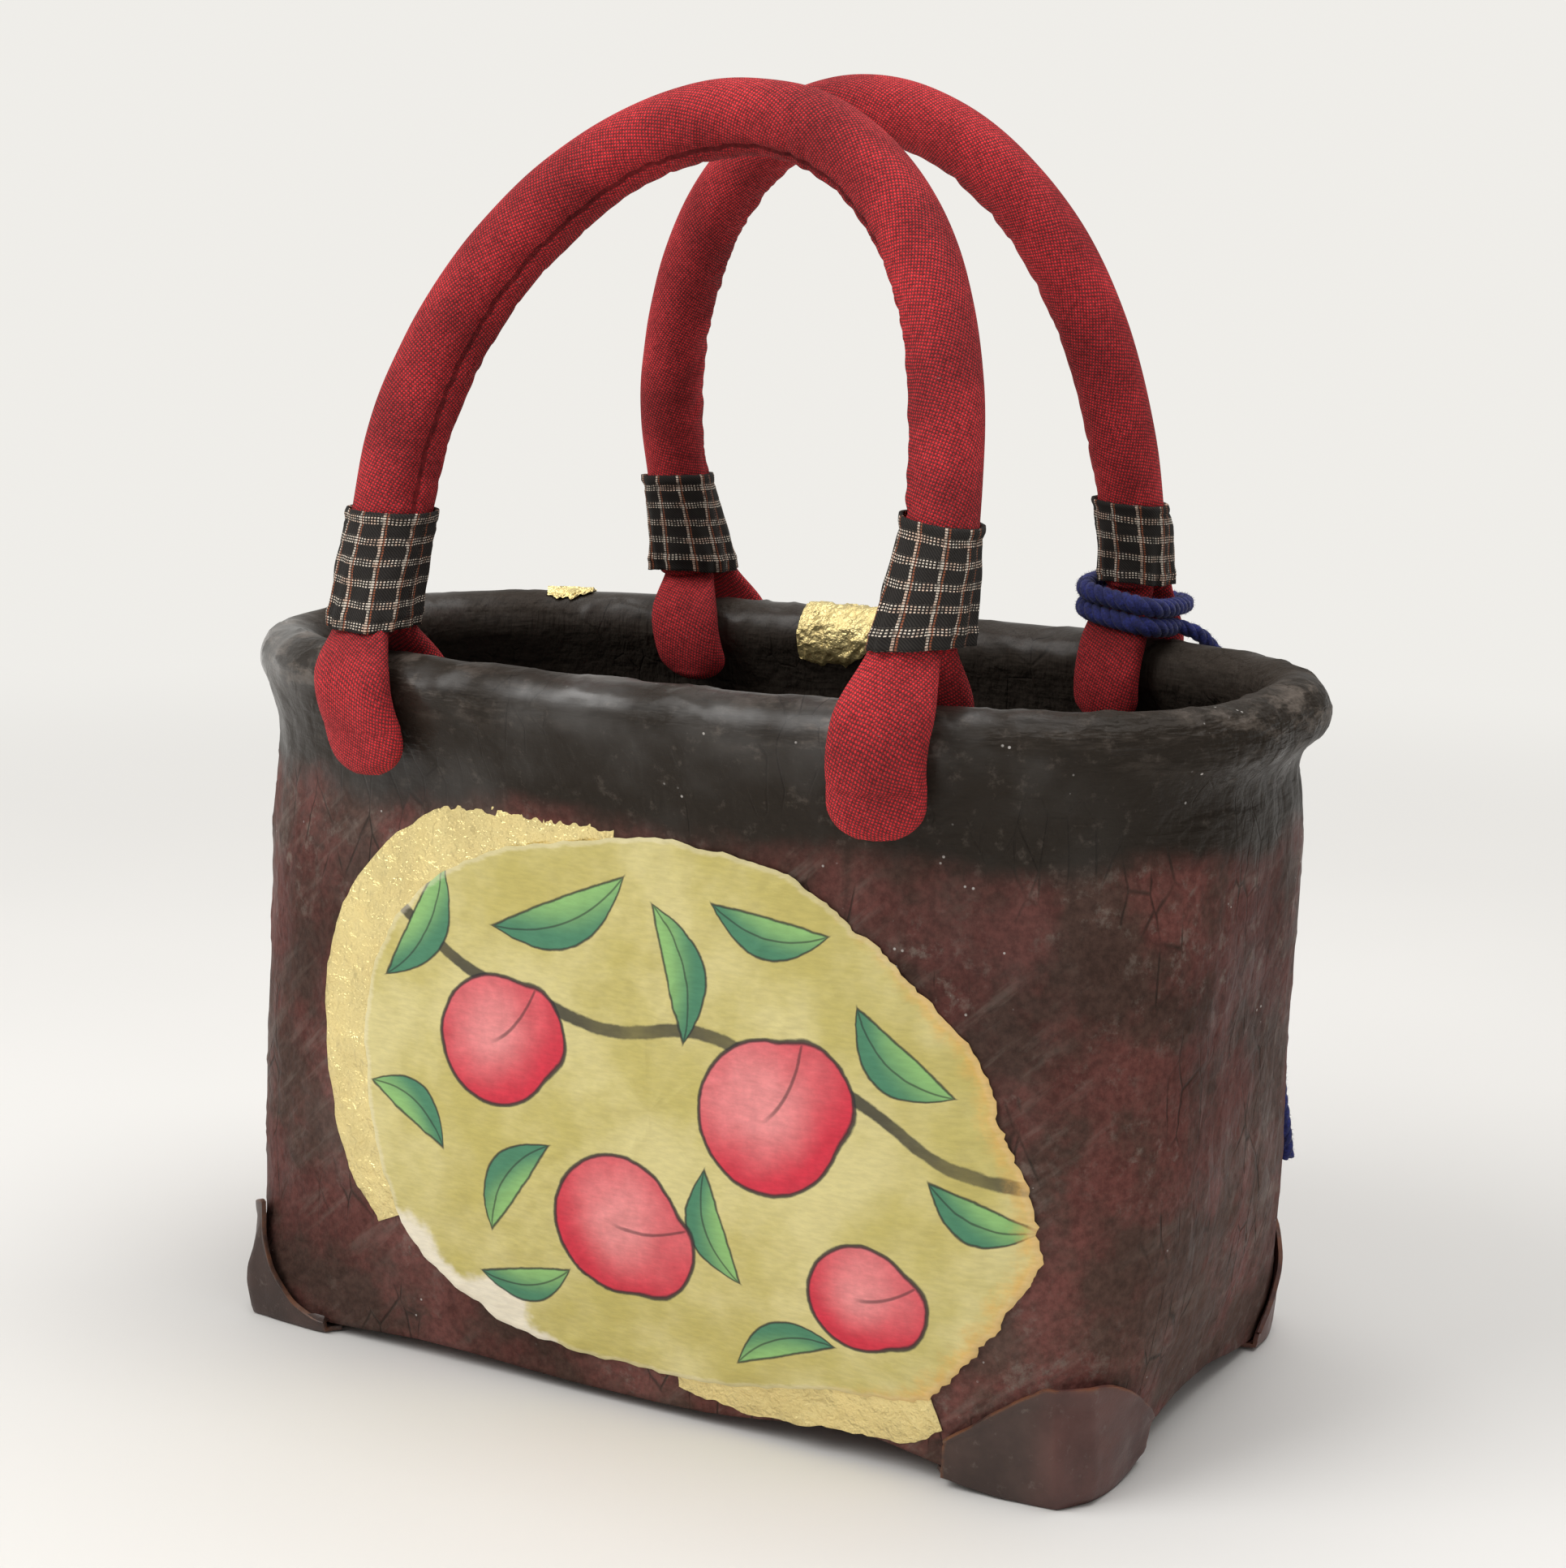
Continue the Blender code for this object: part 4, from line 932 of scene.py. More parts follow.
def foot_reaches(end):
    """Reach of a foot's middle line: out from the roll's centre line, and up into the cuff."""
    radius = HOOP_RADIUS + FOOT_GAP + foot_half_thickness(end)
    return radius, cuff_heights(end)[0] + FOOT_HALF_THICKNESS * LEG_TUCK - HOOP_HEIGHT


def foot_outline(end, turn):
    """Place on a foot's course over the roll: out from its centre and up from it."""
    radius, top = foot_reaches(end)
    up = -math.cos(turn)
    if up < 0:
        return radius * math.sin(turn), up * (radius + TOE_DROP)
    pinch = abs(math.sin(turn)) ** LEG_PINCH
    near = foot_half_thickness(end) * LEG_SQUEEZE + LEG_GAP
    return near + (radius - near) * pinch, up * top


def foot_share(end, height):
    radius, top = foot_reaches(end)
    return min(1.0, max(0.0, (height - HOOP_HEIGHT + radius) / (top + radius)))


def foot_middle(end, height):
    return (end[2] + (end[1] - end[2]) * foot_share(end, height) ** 1.3) * HANDLE_HALF_SPAN


def foot_half_width(end, height):
    share = foot_share(end, height)
    wide = FOOT_HALF_WIDTH * end[6]
    narrow = float(smooth_step(share, 0.48, 0.95))
    return wide + (HANDLE_RADIUS * end[5] * FOOT_TOP_SHARE - wide) * narrow


LEG_STATIONS = 46
LEG_CORNERS = 36
LEG_TOP = 0.86
LEG_CREASE = 0.00025
LEG_CREASE_PITCH = 0.0052

# inwards: end of the leg's course in half turns, last step out and up to the toe, share of the width
LEG_TOES = {False: (0.34, (-0.0022, -0.0145), 1.0), True: (0.30, (-0.0012, -0.0050), 0.84)}


def leg_grid(end, inwards):
    """Rings of one padded leg of a foot, from inside the cuff down over the roll to its round toe."""
    side = HANDLES[end[0]][0]
    last_turn, toe, width_share = LEG_TOES[inwards]
    turns = np.linspace(math.pi * LEG_TOP, math.pi * last_turn, LEG_STATIONS)
    course = np.array([foot_outline(end, turn) for turn in turns])
    course = even_path(np.concatenate([course, [course[-1] + toe]]), LEG_STATIONS)
    lengths = path_lengths(course)
    ahead = unit(np.gradient(course, axis=0))
    rings = []
    for (out, up), way, length in zip(course, ahead, lengths):
        height = HOOP_HEIGHT + up
        thickness = leg_half_thickness(end, height)
        half_width = foot_half_width(end, height) * width_share
        to_toe = (lengths[-1] - length) / (0.8 * half_width)
        to_top = length / 0.004
        closing = math.sqrt(max(0.0, 1 - max(0.0, 1 - to_toe) ** 2))
        shrink = max(0.05, closing) * min(1.0, max(0.05, math.sqrt(max(0.0, to_top))))
        thick = thickness * max(0.05, min(1.0, closing * 1.25)) * min(1.0, 0.1 + to_top)
        middle = foot_middle(end, height)
        ring = []
        for corner in range(LEG_CORNERS):
            angle = 2 * math.pi * corner / LEG_CORNERS - math.pi / 2
            wide = signed_power(math.cos(angle), 0.8) * half_width * shrink
            deep = signed_power(math.sin(angle), 0.9) * thick
            crease = LEG_CREASE * math.sin(length / LEG_CREASE_PITCH + 3.0 * math.cos(angle))
            deep += crease * math.sin(angle)
            x = middle + wide
            reach = (-1 if inwards else 1) * (out + way[1] * -deep)
            ring.append((x, side * (hoop_depth(x) + reach), height + way[0] * deep))
        rings.append(ring)
    rings = np.array(rings)
    across = np.cumsum(np.linalg.norm(np.diff(rings, axis=1), axis=2), axis=1)
    from_back = np.concatenate([np.zeros((len(rings), 1)), across], axis=1)
    from_front = from_back - from_back[:, LEG_CORNERS // 2:LEG_CORNERS // 2 + 1]
    cloth = np.stack([from_front, np.broadcast_to(lengths[:, None], from_front.shape)], -1)
    return rings, cloth


TUBE_STATIONS = 420
TUBE_CORNERS = 48
SEAM_ANGLE = 2.75
SEAM_DEPTH = 0.0011
PUCKER_PITCH = 0.0072
PUCKER_HEIGHT = 0.00030
LUMP_HEIGHT = 0.00045
KINK_DEPTH = 0.00075


def tube_grid(name):
    """Rings of a padded handle, puckered along the seam under its arch."""
    course = even_path(handle_course(name), TUBE_STATIONS)
    centre, radius = course[:, :3], course[:, 3]
    lengths = path_lengths(centre)
    ahead = unit(np.gradient(centre, axis=0))
    side, lean = HANDLES[name][:2]
    plane = np.array([0.0, -side * math.cos(math.radians(lean)), -math.sin(math.radians(lean))])
    above = unit(np.cross(plane, ahead))
    if above[TUBE_STATIONS // 2, 2] < 0:
        above = -above
    beside = np.cross(ahead, above)
    angle = np.linspace(0.0, 2 * math.pi, TUBE_CORNERS, endpoint=False)
    seam = -side * SEAM_ANGLE
    from_seam = np.abs((angle - seam + math.pi) % (2 * math.pi) - math.pi)[None, :]
    v = lengths[:, None]
    spots = np.stack([v.ravel() * 1.0, np.full(len(lengths), side * 1.0), v.ravel() * 0], 1)
    sway = noise_field(spots, (28, 1, 1), 2)[:, None]
    phase = v / PUCKER_PITCH * 2 * math.pi + 2.2 * noise_field(spots, (60, 1, 1), 2, seed=4.0)[:, None]
    uneven = 0.25 + 0.75 * np.clip(noise_field(spots, (85, 1, 1), 2, seed=8.0)[:, None] + 0.5, 0, 1)
    pucker = np.sin(phase) * hump(from_seam, 0.0, 0.75) * PUCKER_HEIGHT * uneven
    groove = -SEAM_DEPTH * hump(from_seam, 0.0, 0.16)
    under = smooth_step(-np.abs(angle - math.pi), -1.3, -0.2)[None, :]
    places = np.stack(np.broadcast_arrays(
        v * 1.0, np.cos(angle)[None, :] * 0.010, np.sin(angle)[None, :] * 0.010 + side), -1).reshape(-1, 3)
    kink = noise_field(places, (75, 60, 60), 3, ridged=True, seed=2.0).reshape(len(lengths), -1)
    lumps = noise_field(places, (30, 70, 70), 2, seed=6.0).reshape(len(lengths), -1)
    girth = radius[:, None] * (1 + 0.022 * sway) + pucker + groove + LUMP_HEIGHT * lumps
    girth = girth - KINK_DEPTH * under * np.maximum(kink, 0) ** 3
    rings = (
        centre[:, None, :]
        + above[:, None, :] * (np.cos(angle)[None, :] * girth)[..., None]
        + beside[:, None, :] * (np.sin(angle)[None, :] * girth)[..., None]
    )
    around = np.broadcast_to((angle - seam) % (2 * math.pi) * HANDLE_RADIUS, girth.shape)
    return rings, np.stack([around, np.broadcast_to(v, girth.shape)], -1)


def build_handle(name, cloth):
    """Padded tube with its four flat legs, sewn as one piece."""
    grids = [tube_grid(name)]
    for end in (end for end in ENDS.values() if end[0] == name):
        grids += [leg_grid(end, inwards=False), leg_grid(end, inwards=True)]
    points = []
    faces = []
    uv = []
    for rings, strip in grids:
        rows, columns = rings.shape[:2]
        first = len(points)
        points += list(rings.reshape(-1, 3))
        uv += list(strip.reshape(-1, 2))
        faces += grid_faces(rows, columns, first=first)
        close_ends(points, faces, rows, columns, first)
        uv += [strip[0].mean(axis=0), strip[-1].mean(axis=0)]
    piece = outward(mesh_piece(f"{name}_cloth", points, faces, cloth, uv=uv))
    settle(piece, "handle_cloth", name)


CUFF_CORNERS = 96
CUFF_STATIONS = 36


def foot_reach(end, height):
    """Distance of a foot's outer face from the roll's centre line at a height and above it."""
    reach = 0.0
    for sample in range(60):
        turn = math.pi * (sample + 0.5) / 60
        out, up = foot_outline(end, turn)
        thickness = leg_half_thickness(end, HOOP_HEIGHT + up)
        ahead, above = foot_outline(end, turn + 0.02)
        way = Vector((ahead - out, above - up)).normalized()
        if HOOP_HEIGHT + up - way.x * thickness > height - FOOT_GAP:
            reach = max(reach, out + way.y * thickness)
    return reach


# cuff: rise of its upper edge for each metre to the right
CUFF_SLOPES = {"front_left": -0.04, "front_right": -0.16, "back_left": 0.05, "back_right": -0.08}
CUFF_EASE = 0.0006
CUFF_GATHER = 0.0006
CUFF_GATHERS = 11
CUFF_CREASE = 0.0009
CUFF_WAVE = 0.0005
COURSE_END = 110

# place, width and height of each ridge or groove round a cuff, the first two as shares of its length
CUFF_HEMS = ((0.955, 0.03, 0.0003), (0.88, 0.02, -0.00025), (0.12, 0.03, 0.0003))


def cuff_sides(end):
    """Left, right, inner and outer side of a cuff at each of its stations, close round tube and legs."""
    name = end[0]
    side, lean = HANDLES[name][:2]
    low, high = cuff_heights(end)
    course = handle_course(name)
    course = course[:COURSE_END] if end[1] < 0 else course[::-1][:COURSE_END]
    shares = np.linspace(0.0, 1.0, CUFF_STATIONS)
    heights = low + SEAT_GAP + (high - low - SEAT_GAP) * shares
    x, y, _, radius = course[np.argmin(np.abs(course[None, :, 2] - heights[:, None]), axis=1)].T
    deep = radius / math.cos(math.radians(lean))
    tube = np.stack([x - radius, x + radius, side * y - deep, side * y + deep])
    foot_x = foot_middle(end, low)
    foot_width = foot_half_width(end, low)
    depth = float(hoop_depth(foot_x))
    reach = foot_reach(end, low)
    foot = np.array([foot_x - foot_width, foot_x + foot_width, depth - reach, depth + reach])
    way = np.array([-1.0, 1.0, -1.0, 1.0])[:, None]
    foot = foot[:, None] * way
    tube = tube * way
    fade = 1 - smooth_step(shares, 0.0, 1.0) * 0.5 - shares * 0.5
    whole = tube + np.maximum(foot - tube[:, :1], 0.0) * fade
    whole = np.maximum(whole, tube)
    return heights, shares, whole * way


def build_cuff(place, sizes, plaid):
    """Plaid sleeve over the end of a handle, gathered where it closes round the foot."""
    end = ENDS[place]
    side = HANDLES[end[0]][0]
    seed = 10.0 * end[1] + side
    heights, shares, sides = cuff_sides(end)
    angle = np.linspace(0.0, 2 * math.pi, CUFF_CORNERS, endpoint=False)[None, :]
    share = shares[:, None]
    left, right, near, far = (row[:, None] for row in sides)
    hem = sum(height * hump(share, middle, width) for middle, width, height in CUFF_HEMS)
    swing = angle * CUFF_GATHERS + seed + 1.5 * np.sin(3 * angle)
    gather = CUFF_GATHER * (1 - share) ** 2 * np.sin(swing)
    places = np.stack(np.broadcast_arrays(np.cos(angle), np.sin(angle), heights[:, None] * 70 + seed), -1)
    crease = noise_field(places.reshape(-1, 3), (1.3, 1.3, 1.0), 2, seed=seed).reshape(gather.shape)
    grow = CUFF_EASE * (1 - 0.6 * share) + sizes.cuff_thickness + gather + crease * CUFF_CREASE + hem
    round_off = 0.76 + 0.19 * share
    wide = signed_power(np.cos(angle), round_off)
    deep = signed_power(np.sin(angle), round_off)
    x = (left + right) / 2 + wide * ((right - left) / 2 + grow)
    swing = (hoop_depth(x) - hoop_depth((left + right) / 2)) * (1 - share)
    y = side * ((far + near) / 2 + swing) + deep * ((far - near) / 2 + grow)
    tilt = CUFF_SLOPES[place] * (x - (left + right) / 2) * share
    z = heights[:, None] + tilt + CUFF_WAVE * np.sin(2 * angle + seed) * (1 - share)
    grid = np.stack([x, y, z], -1)
    normals = grid_normals(grid)
    inwards = -np.sign(normals[0, 0, 0]) * sizes.cuff_thickness
    inner = grid + normals * inwards
    middle_row = grid[CUFF_STATIONS // 2]
    steps = np.linalg.norm(np.roll(middle_row, -1, axis=0) - middle_row, axis=1)
    around = np.concatenate([[0.0], np.cumsum(steps)[:-1]])
    cloth = np.stack(np.broadcast_arrays(around[None, :], heights[:, None] + 0 * angle), -1)
    uv = np.concatenate([cloth, cloth[::-1]]).reshape(-1, 2)
    points = np.concatenate([grid, inner[::-1]]).reshape(-1, 3)
    rings = 2 * CUFF_STATIONS
    faces = grid_faces(rings, CUFF_CORNERS)
    last = (rings - 1) * CUFF_CORNERS
    for column in range(CUFF_CORNERS):
        following = (column + 1) % CUFF_CORNERS
        faces.append((last + column, last + following, following, column))
    piece = outward(mesh_piece(f"{place}_plaid", points, faces, plaid, uv=uv))
    settle(piece, "cuff_plaid", f"{place}_cuff")


# Yarn

# name, kind and default of each input of the yarn's node tree
YARN_INPUTS = (
    ("Line", "Geometry", None),
    ("Ply pitch", "Float", 0.01),
    ("Ply radius", "Float", 0.001),
    ("Twist radius", "Float", 0.001),
    ("Fibre density", "Float", 200000.0),
    ("Fibre length", "Float", 0.001),
    ("Material", "Material", None),
)
FIBRE_DENSITY = 900000.0
FIBRE_LENGTH = 0.0009
FIBRE_RADIUS = 0.00005
FIBRE_SEED = 11
YARN_STEP = 0.0007
PLY_SHARE = 0.32
TWIST_SHARE = 0.235


def yarn_tree(plies):
    """Geometry nodes that turn a line into twisted plies with short loose fibres."""
    tree = bpy.data.node_groups.new("twisted_yarn", "GeometryNodeTree")
    for name, kind, default in YARN_INPUTS:
        made = tree.interface.new_socket(name, in_out="INPUT", socket_type=f"NodeSocket{kind}")
        if default is not None:
            made.default_value = default
    tree.interface.new_socket("Yarn", in_out="OUTPUT", socket_type="NodeSocketGeometry")
    nodes = Nodes(tree)
    group = tree.nodes.new("NodeGroupInput")
    given = {name: Value(nodes, group.outputs[name]) for name, _, _ in YARN_INPUTS}

    def vector_maths(operation, first, second, second_name=1):
        return nodes.node("ShaderNodeVectorMath", {"operation": operation}, {0: first, second_name: second})

    def joined(pieces):
        join = tree.nodes.new("GeometryNodeJoinGeometry")
        for piece in pieces:
            tree.links.new(piece.socket, join.inputs[0])
        return Value(nodes, join.outputs[0])

    line = nodes.node("GeometryNodeMeshToCurve", sockets={"Mesh": given["Line"]})
    line = nodes.node("GeometryNodeResampleCurve", {"mode": "LENGTH"}, {"Curve": line, "Length": YARN_STEP})
    normal = nodes.node("GeometryNodeInputNormal")
    across = vector_maths("CROSS_PRODUCT", nodes.node("GeometryNodeInputTangent"), normal)
    turn = nodes.node("GeometryNodeSplineParameter", output="Length") / given["Ply pitch"] * (2 * math.pi)
    sockets = {"Resolution": 12, "Radius": given["Ply radius"]}
    profile = nodes.node("GeometryNodeCurvePrimitiveCircle", sockets=sockets)
    tubes = []
    for ply in range(plies):
        angle = turn + 2 * math.pi * ply / plies
        sides = []
        for way, share in ((normal, angle.cosine()), (across, angle.sine())):
            side = vector_maths("SCALE", way, share, "Scale")
            sides.append(vector_maths("SCALE", side, given["Twist radius"], "Scale"))
        offset = vector_maths("ADD", *sides)
        moved = nodes.node("GeometryNodeSetPosition", sockets={"Geometry": line, "Offset": offset})
        sockets = {"Curve": moved, "Profile Curve": profile, "Fill Caps": True}
        tubes.append(nodes.node("GeometryNodeCurveToMesh", sockets=sockets))
    yarn = joined(tubes)
    sockets = {"Mesh": yarn, "Density": given["Fibre density"], "Seed": FIBRE_SEED}
    spread = nodes.node("GeometryNodeDistributePointsOnFaces", sockets=sockets).socket.node.outputs
    sockets = {"Vertices": 3, "Radius Top": 0.0, "Radius Bottom": FIBRE_RADIUS}
    cone = nodes.node("GeometryNodeMeshCone", sockets={**sockets, "Depth": given["Fibre length"]})
    sockets = {0: (-0.9, -0.9, 0.0), 1: (0.9, 0.9, 6.3)}
    lean = nodes.node("FunctionNodeRandomValue", {"data_type": "FLOAT_VECTOR"}, sockets)
    sockets = {0: Value(nodes, spread["Rotation"]), 1: lean}
    turned = nodes.node("FunctionNodeRotateRotation", {"rotation_space": "LOCAL"}, sockets)
    sockets = {"Points": Value(nodes, spread["Points"]), "Instance": cone, "Rotation": turned}
    fibres = nodes.node("GeometryNodeInstanceOnPoints", sockets=sockets)
    real = nodes.node("GeometryNodeRealizeInstances", sockets={"Geometry": joined([yarn, fibres])})
    sockets = {"Geometry": real, "Material": given["Material"]}
    done = nodes.node("GeometryNodeSetMaterial", sockets=sockets)
    tree.links.new(done.socket, tree.nodes.new("NodeGroupOutput").inputs[0])
    return tree


def twisted(name, route, thickness, sizes, material):
    """Plied yarn of a given thickness along a route, as a plain mesh."""
    tree = yarn_tree(sizes.ply_count)
    mesh = bpy.data.meshes.new(name)
    mesh.from_pydata([tuple(point) for point in route], [(i, i + 1) for i in range(len(route) - 1)], [])
    mesh.materials.append(material)
    piece = bpy.data.objects.new(name, mesh)
    bpy.context.scene.collection.objects.link(piece)
    plies = piece.modifiers.new("plies", "NODES")
    plies.node_group = tree
    known = {item.name: item.identifier for item in tree.interface.items_tree if item.in_out == "INPUT"}
    ply, twist = thickness * PLY_SHARE, thickness * TWIST_SHARE
    given = (sizes.ply_pitch, ply, twist, FIBRE_DENSITY, FIBRE_LENGTH, material)
    for (key, _, _), value in zip(YARN_INPUTS[1:], given):
        plies[known[key]] = value
    return make_plain(piece)


WINDING_TURNS = 1.75
WINDING_STEPS = 26
WINDING_RISE = 0.0012
WINDING_WIDTH = 0.90
WINDING_DEPTH = 0.92
TAIL_THICKNESS = 1.6 * YARN_RADIUS


def windings_route(end):
    """Course of the yarn round both legs of a foot, under its cuff."""
    side = HANDLES[end[0]][0]
    pitch = 2 * YARN_RADIUS + 2 * SEAT_GAP
    slant = YARN_RADIUS * 0.5
    middle = cuff_heights(end)[0] - SEAT_GAP - pitch - slant + WINDING_RISE
    half_width = foot_half_width(end, middle - pitch) * WINDING_WIDTH + YARN_RADIUS
    half_depth = foot_reach(end, middle - pitch) * WINDING_DEPTH + YARN_RADIUS
    route = []
    for step in range(WINDING_STEPS + 1):
        turn = WINDING_TURNS * step / WINDING_STEPS
        angle = 2 * math.pi * turn + math.pi / 2
        wide = float(signed_power(math.cos(angle), 0.6))
        deep = float(signed_power(math.sin(angle), 0.6))
        x = foot_middle(end, middle) + half_width * wide
        height = middle + pitch * (WINDING_TURNS / 2 - turn) - wide * slant
        route.append((x, side * (hoop_depth(np.array(x)) + half_depth * deep), height))
    return np.array(route)


def build_yarn(sizes, yarn):
    """Yarn wound under the back right cuff, and its loose end down the back corner."""
    windings = windings_route(ENDS["back_right"])
    tie = twisted("yarn_windings", smooth_path(windings, 6), 2 * YARN_RADIUS, sizes, yarn)
    settle(tie, "yarn", "yarn_tie")
    ahead = unit(windings[-1] - windings[-2])
    start = [windings[-1] + ahead * reach for reach in (0.0005, YARN_RADIUS)]
    route = smooth_path(np.array(start + [np.array(point) for point in YARN_TAIL_ROUTE]), 6)
    tail = twisted("yarn_loose_end", route, TAIL_THICKNESS, sizes, yarn)
    settle(tail, "yarn", "yarn_tail")


# Front panel and gold leaf

PANEL_RINGS = 46
BAND_ROWS = 15
BAND_COLUMNS = 150
PATCH_ROWS = 50
PATCH_COLUMNS = 60
BAND_THICKNESS = 0.00015
PATCH_THICKNESS = 0.0002
PANEL_LIFT = 0.00050
BAND_LIFT = 0.00018
PATCH_LIFT = 0.0004

# left and right end over RIM_HALF_WIDTH, turns on the roll where the leaf starts and stops
LEAF_PATCHES = {
    "gold_leaf_inside": (-0.215, -0.035, 85.0, 235.0),
    "gold_leaf_crest": (-0.800, -0.710, 60.0, 130.0),
}


def panel_points(place, offset, sizes):
    """Points over the front wall at places in the panel's frame, following the wall's folds."""
    x = PANEL_X + place[:, 0]
    points = front_points(x, PANEL_HEIGHT + place[:, 1], 0.0)
    points[:, 1] -= fold_relief(points, sizes.fold_depth) + offset
    return points


def build_panel(sizes, colours):
    """Torn painted paper glued on the front, with its soft fibrous edge."""
    size = np.array([PANEL_HALF_WIDTH, PANEL_HALF_HEIGHT])
    outline = smooth_path(np.array(PANEL_OUTLINE), 14, closed=True) * size
    spots = flat_spots(outline)
    right = smooth_step(outline[:, 0], 0.02, 0.08)
    tear = 0.0011 * noise_field(spots, 130, 3) + 0.0010 * right * noise_field(spots, 480, 2)
    reach = np.linalg.norm(outline, axis=1)
    outline = outline * (1 + tear / reach)[:, None]
    shares = 1 - (1 - np.linspace(0.04, 1.0, PANEL_RINGS)) ** 1.25
    place = np.concatenate([[[0.0, 0.0]]] + [outline * share for share in shares])
    count = len(outline)
    share = np.concatenate([[0.0], np.repeat(shares, count)])
    spots = flat_spots(place)
    crease = noise_field(spots, 42, 3, ridged=True, seed=31.0) ** 4
    ripple = noise_field(spots, (140, 26, 1), 2, seed=12.0)
    edge_curl = smooth_step(share, 0.955, 1.0) * noise_field(spots, 75, 2, seed=17.0)
    offset = PANEL_LIFT + 0.00045 * crease + 0.00009 * ripple + 0.00025 * edge_curl
    offset -= 0.00028 * (share > 0.999)
    points = panel_points(place, offset, sizes)
    faces = [(0, 1 + (i + 1) % count, 1 + i) for i in range(count)]
    faces += grid_faces(len(shares), count, first=1)
    piece = mesh_piece("painted_paper", points, faces, painting(colours), uv=place, values={"edge": share})
    skin_out(piece, Vector((0.0, -1.0, 0.0)), sizes.panel_thickness)
    settle(piece, "panel_paper", "front_panel")


def build_leaf_band(name, course, sizes, gold):
    """Torn band of gold leaf beside the panel."""
    size = np.array([PANEL_HALF_WIDTH, PANEL_HALF_HEIGHT])
    path = even_path(smooth_path(np.array(course), 16) * (*size, 1.0), BAND_COLUMNS)
    ahead = unit(np.gradient(path[:, :2], axis=0))
    beside = np.stack([-ahead[:, 1], ahead[:, 0]], 1)
    half = path[:, 2] * LEAF_WIDTH / 2
    rows = []
    for share in np.linspace(-1.0, 1.0, BAND_ROWS):
        spots = flat_spots(path[:, :2], share)
        ragged = 0.0009 * noise_field(spots, (160, 160, 0.4), 3, seed=3.0) * abs(share) ** 4
        rows.append(path[:, :2] + beside * (share * half + np.sign(share) * ragged)[:, None])
    place = np.array(rows).reshape(-1, 2)
    offset = BAND_LIFT + 0.00016 * noise_field(flat_spots(place), 150, 2, ridged=True) ** 3
    points = panel_points(place, offset, sizes)
    faces = grid_faces(BAND_ROWS, BAND_COLUMNS, closed=False)
    piece = mesh_piece(f"{name}_sheet", points, faces, gold, uv=place)
    skin_out(piece, Vector((0.0, -1.0, 0.0)), BAND_THICKNESS)
    settle(piece, "gold_leaf", name)


def build_leaf_patch(name, gold):
    """Crumpled patch of gold leaf over the back of the roll."""
    left, right, start, stop = LEAF_PATCHES[name]
    x = np.linspace(left, right, PATCH_COLUMNS) * RIM_HALF_WIDTH
    across = np.stack([x, hoop_depth(x), np.full_like(x, HOOP_HEIGHT)], 1)
    ahead = np.gradient(across, axis=0)
    out = unit(np.stack([-ahead[:, 1], ahead[:, 0], ahead[:, 2] * 0], 1))
    out *= np.sign(out[:, 1:2])
    share = np.linspace(-1.0, 1.0, PATCH_COLUMNS)
    spots = np.stack([share * 3, share * 0, share * 0], 1)
    end = stop + (start - stop) * 0.22 * np.abs(share + 0.25) ** 2.2 + 7 * noise_field(spots, 1.0, 3)
    rows = []
    for part in np.linspace(0.0, 1.0, PATCH_ROWS):
        turn = np.radians(start + (end - start) * part)[:, None]
        spots = across + out * part * 0.03
        crush = 0.00075 * noise_field(spots, 120, 3, ridged=True, seed=9.0)[:, None] ** 2
        reach = HOOP_RADIUS + PATCH_LIFT + crush
        rows.append(across + out * np.cos(turn) * reach + np.array([0, 0, 1.0]) * np.sin(turn) * reach)
    points = np.array(rows).reshape(-1, 3)
    faces = grid_faces(PATCH_ROWS, PATCH_COLUMNS, closed=False)
    piece = mesh_piece(f"{name}_sheet", points, faces, gold)
    middle = PATCH_COLUMNS // 2
    skin_out(piece, Vector(rows[PATCH_ROWS // 2][middle] - across[middle]), PATCH_THICKNESS)
    settle(piece, "gold_leaf", name)


# Materials

SPECK_COLOUR = (0.55, 0.52, 0.49)
LINT_COLOUR = (0.62, 0.50, 0.48)
WEAVE_ANGLE = 24
DOT_PITCH = 0.00100
TWILL_PITCH = 0.00085


